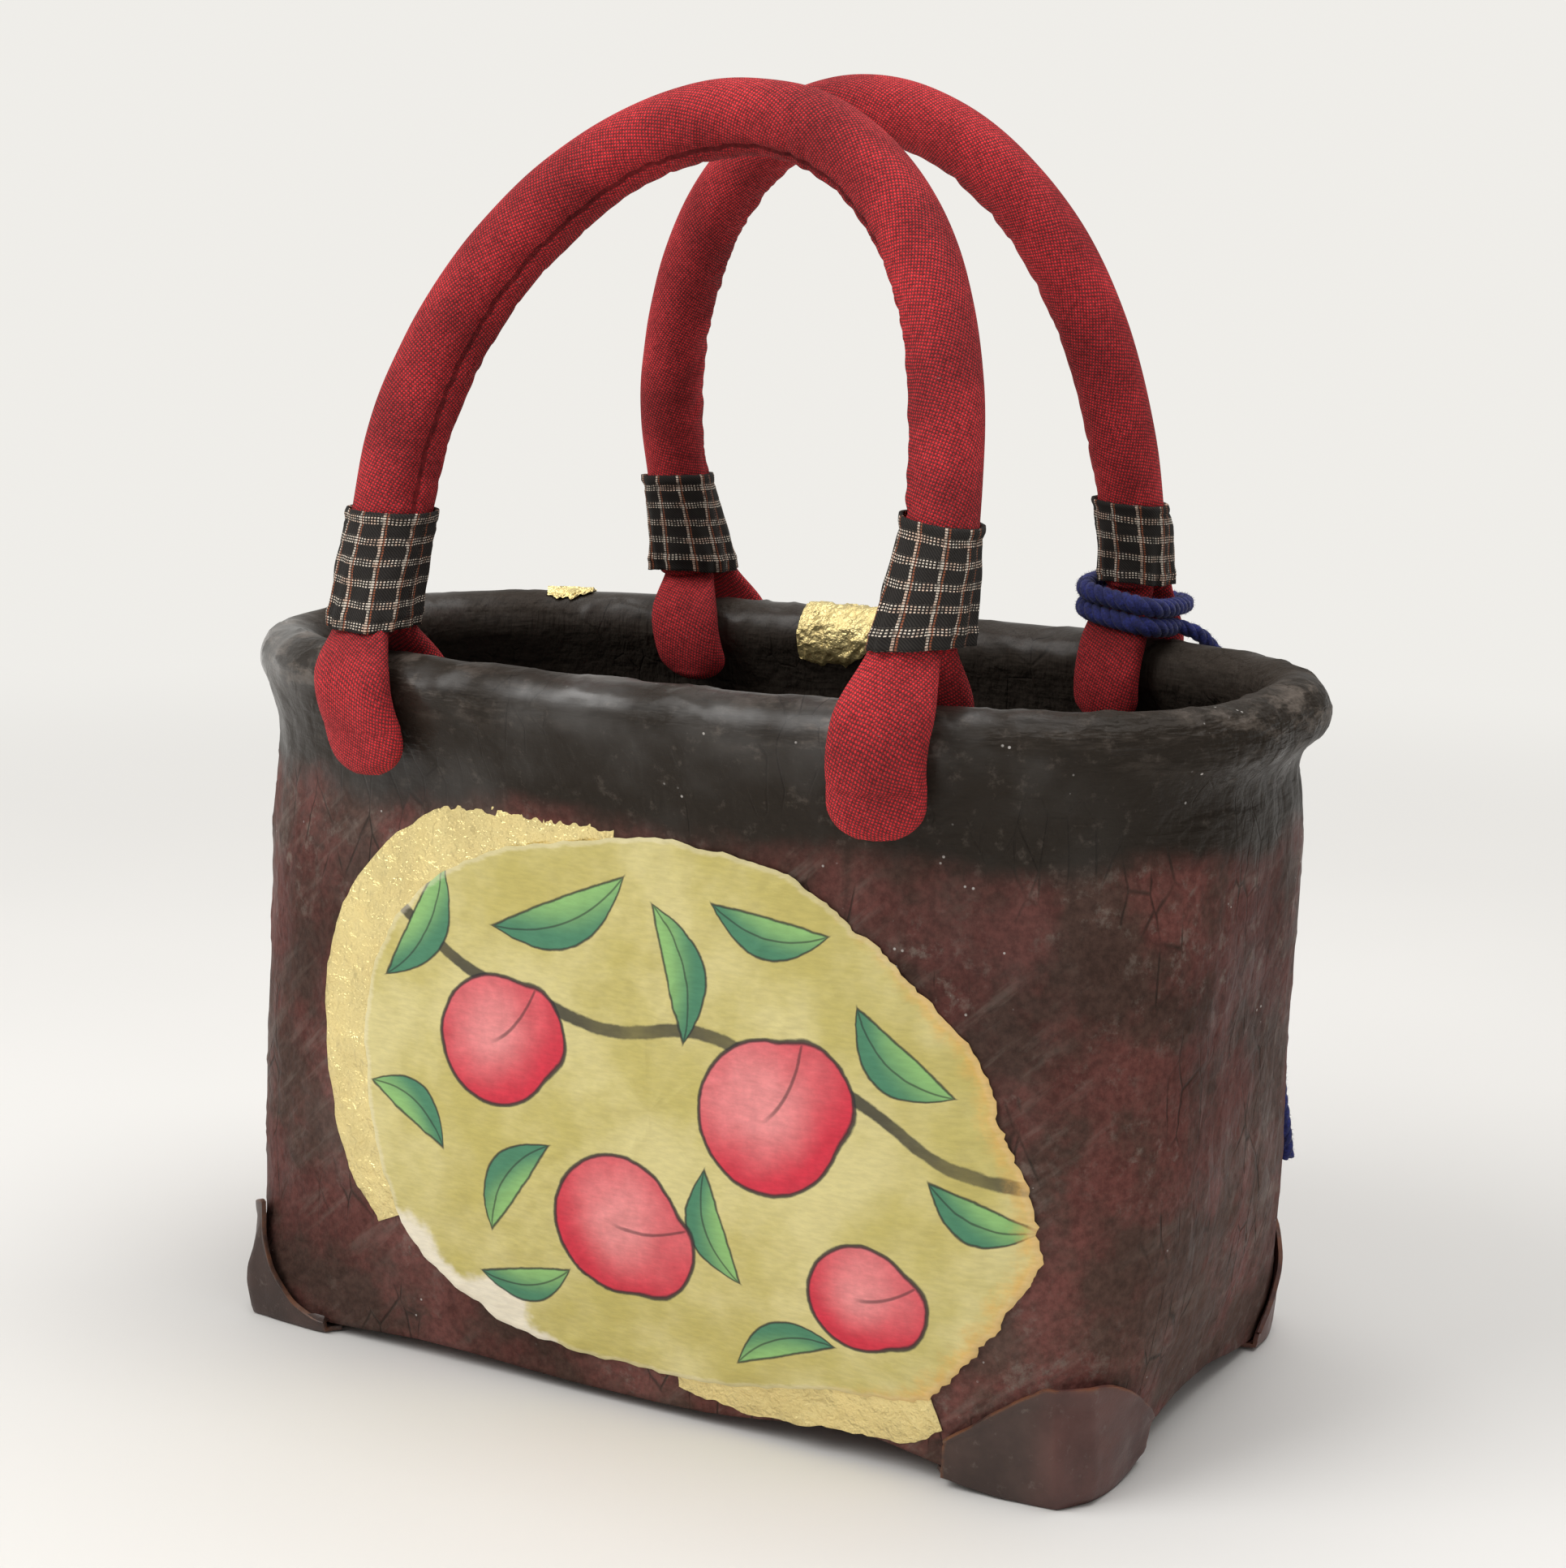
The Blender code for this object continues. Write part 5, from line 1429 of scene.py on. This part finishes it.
def lacquer(colours, sizes):
    """Mottled maroon and brown lacquer over creased paper, black round the rim and inside."""
    finish = Finish("lacquered_paper", specular_ior_level=0.05, coat_roughness=0.34)
    place = finish.place()
    x, y, z = place.parts()
    inside = finish.attribute("inside")
    mottle = place.noise(38, 5, 0.62).ramp(0.40, 0.62)
    cloud = place.noise(11, 3).ramp(0.30, 0.72, 0.72, 1.30)
    grain = place.noise(420, 4, 0.65).ramp(0.25, 0.75, 0.70, 1.30)
    paper = finish.mix(colours.brown, colours.maroon, mottle)
    paper = finish.tint(paper, cloud * grain)
    diagonal = finish.point((x + z) * 26.0, y * 26.0, (z - x * 0.9) * 190.0)
    streaks = diagonal.noise(1.0, 4, 0.6).ramp(0.50, 0.70) * place.noise(16, 2).ramp(0.40, 0.60)
    rubbed = place.noise(150, 5, 0.72).ramp(0.52, 0.70) * place.noise(24, 3).ramp(0.42, 0.62)
    wear = (streaks * 0.30 + rubbed * 0.55).lowest(0.7)
    paper = finish.mix(paper, colours.scuff_and_painted_light, wear)
    wave = place.noise(17, 3) * 0.026 + place.noise(90, 3) * 0.006
    height = z + wave
    collar_low = RIM_CREST - sizes.collar_depth
    collar = height.ramp(collar_low + 0.0105, collar_low + 0.0215)
    roll = z.ramp(0.186, 0.199) * (1 - inside)
    # Scuffs and painted highlight: grey patches over the roll's top stand in for its glossy highlights as
    # well as rubbed wear
    torn = finish.point(x * 60.0, y * 60.0, z * 190.0).noise(1.0, 5, 0.7).ramp(0.46, 0.64)
    torn = torn * place.noise(13, 2).ramp(0.36, 0.60)
    dusty = place.noise(210, 4, 0.7).ramp(0.55, 0.75) * 0.22
    worn = (torn * roll * 0.50 + dusty * (1 - inside)).lowest(0.9)
    black = finish.mix(colours.black, colours.scuff_and_painted_light, worn)
    # Painted light: the inside is made a little lighter than the outer black
    black = finish.mix(black, colours.scuff_and_painted_light, inside * 0.06)
    colour = finish.mix(paper, black, collar.highest(inside))
    net = finish.point(x * 120.0, y * 120.0, z * 46.0)
    cracks = net.cells(1.0, "DISTANCE_TO_EDGE").ramp(0.0, 0.045, 1.0, 0.0)
    cracks = cracks * place.noise(33, 3).ramp(0.50, 0.64)
    colour = finish.mix(colour, colours.black, cracks * 0.75)
    specks = place.cells(330).ramp(0.09, 0.15, 1.0, 0.0) * place.noise(70, 2).ramp(0.63, 0.69)
    colour = finish.mix(colour, SPECK_COLOUR, specks * (1 - inside) * 0.8)
    glossy = place.noise(30, 4).ramp(0.3, 0.7, 0.0, 0.22)
    roughness = place.noise(130, 3) * 0.14 + 0.56 - glossy * 1.2 - collar * 0.12 + inside * 0.2
    creases = place.cells(105, "DISTANCE_TO_EDGE").ramp(0.0, 0.16)
    fine = finish.point(x * 620.0, y * 620.0, z * 230.0).noise(1.0, 5, 0.62)
    lumps = place.noise(170, 4, 0.6)
    level = finish.point(x * 26.0, y * 26.0, z * 120.0).noise(1.0, 4, 0.6)
    level = abs(level - 0.5) * (roll + collar * 0.5)
    vertical = finish.point(x * 420.0, y * 420.0, z * 46.0).noise(1.0, 3) * inside
    relief = creases * 0.00016 + fine * 0.00024 + lumps * 0.0006 + vertical * 0.0013
    relief = relief - cracks * 0.00030 - level * 0.0034
    shine = place.noise(22, 4).ramp(0.40, 0.66, 0.10, 1.0) * (collar * 0.30 + roll * 0.90 + 0.30)
    shine = shine * x.ramp(0.115, 0.138, 1.0, 0.05)
    return finish.done(colour, roughness, relief, coat_weight=shine)


def leather_finish(colours):
    """Smooth dark leather with a rusty cut edge."""
    finish = Finish("corner_leather", specular_ior_level=0.4)
    place = finish.place()
    x = place.parts()[0]
    mottle = place.noise(60, 4, 0.6).ramp(0.3, 0.7, 0.75, 1.30)
    # Painted light: faces towards +x on the right caps are made lighter and redder, as if lit
    lit_right_faces = x.ramp(0.120, 0.134) * 0.55
    colour = finish.tint(finish.mix(colours.leather, colours.maroon, lit_right_faces), mottle)
    edge = finish.attribute("edge").ramp(0.55, 0.95)
    rust = edge * place.noise(120, 3).ramp(0.40, 0.60) * 0.55
    colour = finish.mix(colour, colours.cut_edge, rust)
    rubbed = place.noise(300, 4, 0.7).ramp(0.58, 0.74) * 0.30
    colour = finish.mix(colour, colours.scuff_and_painted_light, rubbed)
    roughness = place.noise(90, 3).ramp(0.3, 0.7, 0.36, 0.54)
    grain = place.cells(1100).ramp(0.0, 0.6) * 0.00003
    relief = grain + place.noise(240, 3) * 0.00016
    return finish.done(colour, roughness, relief)


def woven_cloth(colours, sizes):
    """Plain weave of crimson and dark threads, laid on the bias."""
    finish = Finish("crimson_weave", roughness=0.85, specular_ior_level=0.25)
    u, v, _ = finish.cloth_place().parts()
    place = finish.place()
    turn = math.radians(WEAVE_ANGLE)
    pull = place.noise(120, 2) * 0.0011
    warp = ((u * math.cos(turn) + v * math.sin(turn) + pull) * (math.pi / sizes.thread_pitch)).sine()
    weft = ((v * math.cos(turn) - u * math.sin(turn) + pull) * (math.pi / sizes.thread_pitch)).sine()
    over = (warp * weft).ramp(-0.25, 0.25)
    thread = abs(warp) * over + abs(weft) * (1 - over)
    faded = place.noise(40, 4).ramp(0.3, 0.7, 0.72, 1.28)
    slub = place.noise(900, 2).ramp(0.3, 0.7, 0.75, 1.25)
    colour = finish.mix(colours.dark_thread, colours.red, over * 0.85 + 0.10)
    # Painted shade and highlight from the threads' height: darker in the gaps between threads, lighter on
    # their crowns; fading and slubs are random tone
    colour = finish.tint(colour, faded * slub * thread.ramp(0.0, 0.75, 0.35, 1.12))
    lint = finish.point(u * 300.0, v * 1200.0).noise(1.0, 2).ramp(0.74, 0.80)
    colour = finish.mix(colour, LINT_COLOUR, lint * 0.35)
    relief = thread * 0.00016 + over * 0.00004 + place.noise(300, 3) * 0.00020
    return finish.done(colour, height=relief)


def plaid_cloth(colours, sizes):
    """Black twill with bands of small cream dots and narrow upright lines of cream and rust."""
    finish = Finish("checked_twill", roughness=0.85, specular_ior_level=0.25)
    u, v, _ = finish.cloth_place().parts()
    place = finish.place()
    u = u + place.noise(70, 3) * 0.0013
    v = v + place.noise(90, 3) * 0.0014
    pick = sizes.check_pitch / 8.0
    band = (v / sizes.check_pitch).fraction()
    rows = (v * (2 * math.pi / pick)).sine().ramp(-0.15, 0.20) * band.ramp(0.375, 0.385, 1.0, 0.0)
    dots = (u * (2 * math.pi / DOT_PITCH)).sine().ramp(-0.30, 0.10)
    upright = (u / (sizes.check_pitch * 1.42)).fraction()
    cream_line = upright.ramp(0.085, 0.10, 1.0, 0.0)
    rust_line = upright.ramp(0.19, 0.20, 1.0, 0.0) * upright.ramp(0.13, 0.14)
    dashes = (v * (2 * math.pi / pick)).sine().ramp(-0.75, -0.35)
    worn = place.noise(520, 3).ramp(0.34, 0.52, 0.25, 1.0)
    twill = ((u + v) * (2 * math.pi / TWILL_PITCH)).sine()
    colour = finish.tint(colours.cuff_black, twill.ramp(-1.0, 1.0, 0.6, 1.5))
    colour = finish.mix(colour, colours.cuff_rust, rust_line * dashes * 0.85)
    light = (rows * dots).highest(cream_line * dashes * 0.85) * worn
    warm = place.noise(300, 2).ramp(0.46, 0.60)
    colour = finish.mix(colour, finish.mix(colours.cuff_cream, colours.cuff_peach, warm * 0.6), light)
    relief = twill * 0.00005 + light * 0.00010 + place.noise(280, 3) * 0.00025
    return finish.done(colour, height=relief)


def yarn_finish(colours):
    """Navy wool, lighter where the fibres catch the light."""
    finish = Finish("navy_yarn", roughness=0.9, sheen_weight=0.15, sheen_roughness=0.5)
    place = finish.place()
    fibre = place.noise(1500, 3, 0.6).ramp(0.3, 0.7, 0.55, 1.6)
    tuft = place.noise(260, 2).ramp(0.3, 0.7, 0.7, 1.3)
    colour = finish.tint(colours.navy, fibre * tuft)
    return finish.done(colour, height=place.noise(1300, 3) * 0.0002)


def gold_finish(colours):
    """Crumpled gold leaf, worn dull in places."""
    finish = Finish("gold_leaf", metallic=0.70)
    place = finish.place()
    dull = place.noise(75, 4, 0.65).ramp(0.42, 0.68)
    tone = place.noise(60, 3).ramp(0.25, 0.7, 0.90, 1.06)
    colour = finish.tint(finish.mix(colours.gold, colours.stain, dull * 0.06), tone)
    crumple = abs(place.noise(80, 5, 0.62) - 0.5) * -0.0044
    crumple = crumple + abs(place.noise(230, 3) - 0.5) * -0.0005
    relief = crumple + place.noise(600, 2) * 0.00004
    return finish.done(colour, place.noise(200, 3).ramp(0.3, 0.7, 0.28, 0.50), relief)


# Painting: place and size in metres from the panel's middle, turn in degrees
FRUITS = (
    (-0.050, 0.012, 0.0190, 20.0),
    (-0.010, -0.034, 0.0205, -25.0),
    (0.036, 0.004, 0.0215, 35.0),
    (0.064, -0.041, 0.0155, -10.0),
)
LEAVES = (
    (-0.074, 0.040, 0.0200, 0.0064, 62.0),
    (-0.028, 0.048, 0.0230, 0.0068, 24.0),
    (0.010, 0.040, 0.0190, 0.0060, 105.0),
    (0.070, 0.022, 0.0170, 0.0062, -38.0),
    (0.018, -0.030, 0.0160, 0.0056, -70.0),
    (-0.046, -0.026, 0.0170, 0.0058, -125.0),
    (-0.078, -0.010, 0.0150, 0.0054, 150.0),
    (0.040, -0.058, 0.0160, 0.0052, -160.0),
    (0.034, 0.052, 0.0170, 0.0056, -8.0),
    (0.094, -0.016, 0.0150, 0.0052, -20.0),
    (-0.040, -0.058, 0.0150, 0.0050, 12.0),
)
BRANCH_SLOPE = -0.22
BRANCH_RISE = 0.022


def turned(u, v, place_u, place_v, degrees):
    """Coordinates along and across something painted at a place and turned."""
    turn = math.radians(degrees)
    along = (u - place_u) * math.cos(turn) + (v - place_v) * math.sin(turn)
    across = (v - place_v) * math.cos(turn) - (u - place_u) * math.sin(turn)
    return along, across


def painting(colours):
    """Washes of fruit and leaves on a branch, on an olive ground that stops at torn bare paper."""
    finish = Finish("painted_paper", roughness=0.78)
    flat = finish.cloth_place()
    u, v, _ = flat.parts()
    pools = flat.noise(26, 5, 0.55)
    fine = flat.noise(240, 4, 0.65)
    fibres = finish.point(u * 240.0, v * 900.0).noise(1.0, 3)
    colour = finish.mix(colours.olive, colours.pale_olive, pools.ramp(0.36, 0.64))
    bare = (u * -12.0 - v * 22.0 + pools * 1.5).ramp(2.66, 2.80)
    colour = finish.mix(colour, colours.cream, bare)
    sway = (u * 44.0).sine() * 0.006 + (u * 130.0).sine() * 0.0014
    stem = abs(v - u * BRANCH_SLOPE - BRANCH_RISE - sway) - 0.0013 - fine * 0.0012
    colour = finish.mix(colour, colours.ink, stem.ramp(0.0004, -0.0004) * pools.ramp(0.2, 0.6, 0.5, 0.9))
    for place_u, place_v, length, width, degrees in LEAVES:
        along, across = turned(u, v, place_u, place_v, degrees)
        share = along / length
        across = across - share * share * (width * 0.9)
        edge = abs(across) - (1 - share * share) * width + (fine - 0.5) * 0.0007
        shade = (across / width + share * 0.8 + pools).ramp(-0.2, 1.6)
        wash = finish.mix(colours.leaf_blue, colours.leaf_green, shade)
        inside = edge.ramp(0.0003, -0.0003) * abs(share).ramp(1.0, 0.97)
        colour = finish.mix(colour, wash, inside)
        line = abs(edge).ramp(0.0006, 0.0001).highest(abs(across).ramp(0.00045, 0.0001) * 0.8)
        colour = finish.mix(colour, colours.ink, line * abs(share).ramp(1.06, 1.0) * 0.85)
    for place_u, place_v, radius, degrees in FRUITS:
        along, across = turned(u, v, place_u, place_v, degrees)
        tip = (along / radius).ramp(0.55, 1.15) * (radius * 0.24)
        reach = finish.point(along - tip, across).length()
        cleft = abs(across - along * 0.16 - along * along * (2.5 / radius) * 0.2)
        edge = reach - radius * 0.97 + (fine - 0.5) * 0.0007
        shade = (reach / radius * 0.9 + pools * 0.9 - across / radius * 0.35).ramp(0.45, 1.55)
        wash = finish.mix(colours.fruit_pink, colours.fruit_red, shade)
        wash = finish.tint(wash, fine.ramp(0.2, 0.8, 0.88, 1.10))
        colour = finish.mix(colour, wash, edge.ramp(0.0003, -0.0003))
        line = abs(edge).ramp(0.00085, 0.00025)
        crease = cleft.ramp(0.0008, 0.0002) * (reach / radius).ramp(1.0, 0.9)
        crease = crease * (along / radius).ramp(-0.2, 0.2)
        colour = finish.mix(colour, colours.ink, line.highest(crease * 0.7) * 0.9)
    edge = finish.attribute("edge")
    torn_side = u.ramp(0.030, 0.085)
    stain = (edge + torn_side * 0.055 + (fine - 0.5) * 0.10).ramp(0.985, 1.065)
    colour = finish.mix(colour, colours.stain, stain * torn_side * 0.85)
    torn = (edge + (fibres - 0.5) * 0.020).ramp(0.978, 0.992)
    colour = finish.mix(colour, colours.cream, torn * (1 - torn_side * 0.55) * 0.28)
    colour = finish.tint(colour, fibres.ramp(0.25, 0.75, 0.93, 1.06))
    relief = fibres * 0.00010 + fine * 0.00012 + flat.noise(900, 2) * 0.00004
    return finish.done(colour, height=relief)


FLOOR_SIZE = 12.0
SURROUND = (0.865, 0.850, 0.815)
SURROUND_STRENGTH = 1.0
ROOM_STRENGTHS = (0.64, 0.16)


def floor_finish(colours):
    """Pale paper floor that fades into the pale surround."""
    finish = Finish("pale_floor", roughness=0.9)
    place = finish.place()
    colour = finish.tint(colours.floor, place.noise(3, 2).ramp(0.2, 0.8, 0.985, 1.015))
    finish.done(colour)
    sockets = {"Color": (*SURROUND, 1.0), "Strength": SURROUND_STRENGTH}
    glow = finish.node("ShaderNodeEmission", sockets=sockets)
    away = place.length().ramp(0.42, 1.35)
    shader = Value(finish, finish.shader.outputs[0])
    whole = finish.node("ShaderNodeMixShader", sockets={0: away, 1: shader, 2: glow})
    finish.tree.links.new(whole.socket, finish.tree.nodes["Material Output"].inputs["Surface"])
    return finish.material


# name: place, aimed at, width, height, power, colour
LIGHTS = {
    "window": ((-0.9, -1.1, 1.5), (0.0, 0.0, 0.08), 1.3, 1.3, 22.0, (1.0, 0.995, 0.985)),
    "overhead": ((0.3, 0.3, 1.7), (0.0, 0.0, 0.0), 1.4, 1.4, 20.0, (1.0, 0.995, 0.99)),
    "fill": ((1.5, -0.8, 0.9), (0.0, 0.0, 0.15), 1.2, 1.2, 3.5, (0.98, 0.99, 1.0)),
}


def surround_world():
    """Pale surround to the camera, and a softer room that is darker to the right as light."""
    world = bpy.data.worlds.new("surround")
    world.use_nodes = True
    nodes = Nodes(world.node_tree)
    seen = nodes.tree.nodes["Background"]
    seen.inputs["Color"].default_value = (*SURROUND, 1.0)
    from_left = nodes.node("ShaderNodeTexCoord", output="Generated")
    from_left = nodes.node("ShaderNodeSeparateXYZ", sockets={0: from_left})
    low, high = ROOM_STRENGTHS
    limits = {"From Min": -0.8, "From Max": 0.8, "To Min": low, "To Max": high}
    strength = nodes.node("ShaderNodeMapRange", sockets={"Value": from_left, **limits})
    sockets = {"Color": (*SURROUND, 1.0), "Strength": strength}
    room = nodes.node("ShaderNodeBackground", sockets=sockets)
    ray = nodes.node("ShaderNodeLightPath", output="Is Camera Ray")
    seen = Value(nodes, seen.outputs[0])
    both = nodes.node("ShaderNodeMixShader", sockets={0: ray, 1: room, 2: seen})
    nodes.tree.links.new(both.socket, nodes.tree.nodes["World Output"].inputs["Surface"])
    return world


def build_stage(colours):
    """Pale floor, soft lights, even surround and the photograph's camera."""
    corner = FLOOR_SIZE / 2
    points = [(x * corner, y * corner, 0.0) for x, y in ((-1, -1), (1, -1), (1, 1), (-1, 1))]
    mesh_piece("pale_floor", points, [(0, 1, 2, 3)], floor_finish(colours))
    bpy.context.scene.world = surround_world()
    for name, (place, aim, width, height, power, colour) in LIGHTS.items():
        light = bpy.data.lights.new(name, "AREA")
        light.shape = "RECTANGLE"
        light.size = width
        light.size_y = height
        light.energy = power
        light.color = colour
        lamp = bpy.data.objects.new(name, light)
        lamp.location = place
        lamp.rotation_euler = (Vector(aim) - Vector(place)).to_track_quat("-Z", "Y").to_euler()
        bpy.context.scene.collection.objects.link(lamp)
    yaw, pitch, roll = (math.radians(angle) for angle in (CAMERA_YAW, CAMERA_PITCH, CAMERA_ROLL))
    ahead = Vector((math.sin(yaw) * math.cos(pitch), math.cos(yaw) * math.cos(pitch), math.sin(pitch)))
    right = Vector((math.cos(yaw), -math.sin(yaw), 0.0))
    above = right.cross(ahead)
    turned_right = right * math.cos(roll) + above * math.sin(roll)
    turned_up = above * math.cos(roll) - right * math.sin(roll)
    lens = bpy.data.cameras.new("camera")
    lens.lens = CAMERA_LENS
    lens.sensor_width = CAMERA_SENSOR
    lens.clip_start = CAMERA_NEAR
    camera = bpy.data.objects.new("camera", lens)
    turn = Matrix((turned_right, turned_up, -ahead)).transposed().to_4x4()
    turn.translation = CAMERA_PLACE
    camera.matrix_world = turn
    bpy.context.scene.collection.objects.link(camera)
    bpy.context.scene.camera = camera
    bpy.context.scene.view_settings.view_transform = "Standard"


# Add-on

def chosen(context):
    """Sizes and colours set for the scene's handbag."""
    return context.scene.handbag_sizes, context.scene.handbag_colours


class BuildStage(bpy.types.Operator):
    """Add the floor, the lights and the camera."""

    bl_idname = "handbag.stage"
    bl_label = "Stage"

    def execute(self, context):
        _, colours = chosen(context)
        build_stage(colours)
        return {"FINISHED"}


class BuildYarn(bpy.types.Operator):
    """Wind the navy yarn and hang its loose end."""

    bl_idname = "handbag.yarn"
    bl_label = "Yarn"

    def execute(self, context):
        sizes, colours = chosen(context)
        build_yarn(sizes, yarn_finish(colours))
        return {"FINISHED"}


class BuildBody(bpy.types.Operator):
    """Build the lacquered paper body with its rolled rim and lining."""

    bl_idname = "handbag.body"
    bl_label = "Paper body"

    def execute(self, context):
        build_body(*chosen(context))
        return {"FINISHED"}


class BuildCaps(bpy.types.Operator):
    """Build the four leather corner caps."""

    bl_idname = "handbag.caps"
    bl_label = "Corner caps"

    def execute(self, context):
        sizes, colours = chosen(context)
        leather = leather_finish(colours)
        for name in CORNERS:
            build_cap(name, sizes, leather)
        return {"FINISHED"}


class BuildHandles(bpy.types.Operator):
    """Build the two padded cloth handles with their feet."""

    bl_idname = "handbag.handles"
    bl_label = "Handles"

    def execute(self, context):
        sizes, colours = chosen(context)
        cloth = woven_cloth(colours, sizes)
        for name in HANDLES:
            build_handle(name, cloth)
        return {"FINISHED"}


class BuildCuffs(bpy.types.Operator):
    """Build the four plaid cuffs."""

    bl_idname = "handbag.cuffs"
    bl_label = "Cuffs"

    def execute(self, context):
        sizes, colours = chosen(context)
        plaid = plaid_cloth(colours, sizes)
        for place in ENDS:
            build_cuff(place, sizes, plaid)
        return {"FINISHED"}


class BuildPanel(bpy.types.Operator):
    """Lay the painted paper on the front."""

    bl_idname = "handbag.panel"
    bl_label = "Painted panel"

    def execute(self, context):
        build_panel(*chosen(context))
        return {"FINISHED"}


class BuildGold(bpy.types.Operator):
    """Lay the gold leaf beside the panel and over the rim."""

    bl_idname = "handbag.gold"
    bl_label = "Gold leaf"

    def execute(self, context):
        sizes, colours = chosen(context)
        gold = gold_finish(colours)
        build_leaf_band("gold_crescent", CRESCENT_COURSE, sizes, gold)
        build_leaf_band("gold_strip", STRIP_COURSE, sizes, gold)
        for name in LEAF_PATCHES:
            build_leaf_patch(name, gold)
        return {"FINISHED"}


STEPS = (BuildStage, BuildYarn, BuildBody, BuildCaps, BuildHandles, BuildCuffs, BuildPanel, BuildGold)


class HandbagPanel(bpy.types.Panel):
    """Sidebar panel with the handbag's sizes, colours and steps."""

    bl_idname = "VIEW3D_PT_handbag"
    bl_label = "Handbag"
    bl_space_type = "VIEW_3D"
    bl_region_type = "UI"
    bl_category = "Handbag"

    def draw(self, context):
        for step in STEPS:
            self.layout.operator(step.bl_idname)
        for group in (context.scene.handbag_sizes, context.scene.handbag_colours):
            for name in group.__annotations__:
                self.layout.prop(group, name)


CLASSES = (HandbagSizes, HandbagColours, *STEPS, HandbagPanel)


def register():
    for kind in CLASSES:
        bpy.utils.register_class(kind)
    bpy.types.Scene.handbag_sizes = PointerProperty(type=HandbagSizes)
    bpy.types.Scene.handbag_colours = PointerProperty(type=HandbagColours)


def unregister():
    del bpy.types.Scene.handbag_sizes
    del bpy.types.Scene.handbag_colours
    for kind in reversed(CLASSES):
        bpy.utils.unregister_class(kind)


def main():
    register()
    for step in STEPS:
        getattr(bpy.ops.handbag, step.bl_idname.split(".")[1])()


if __name__ == "__main__":
    main()
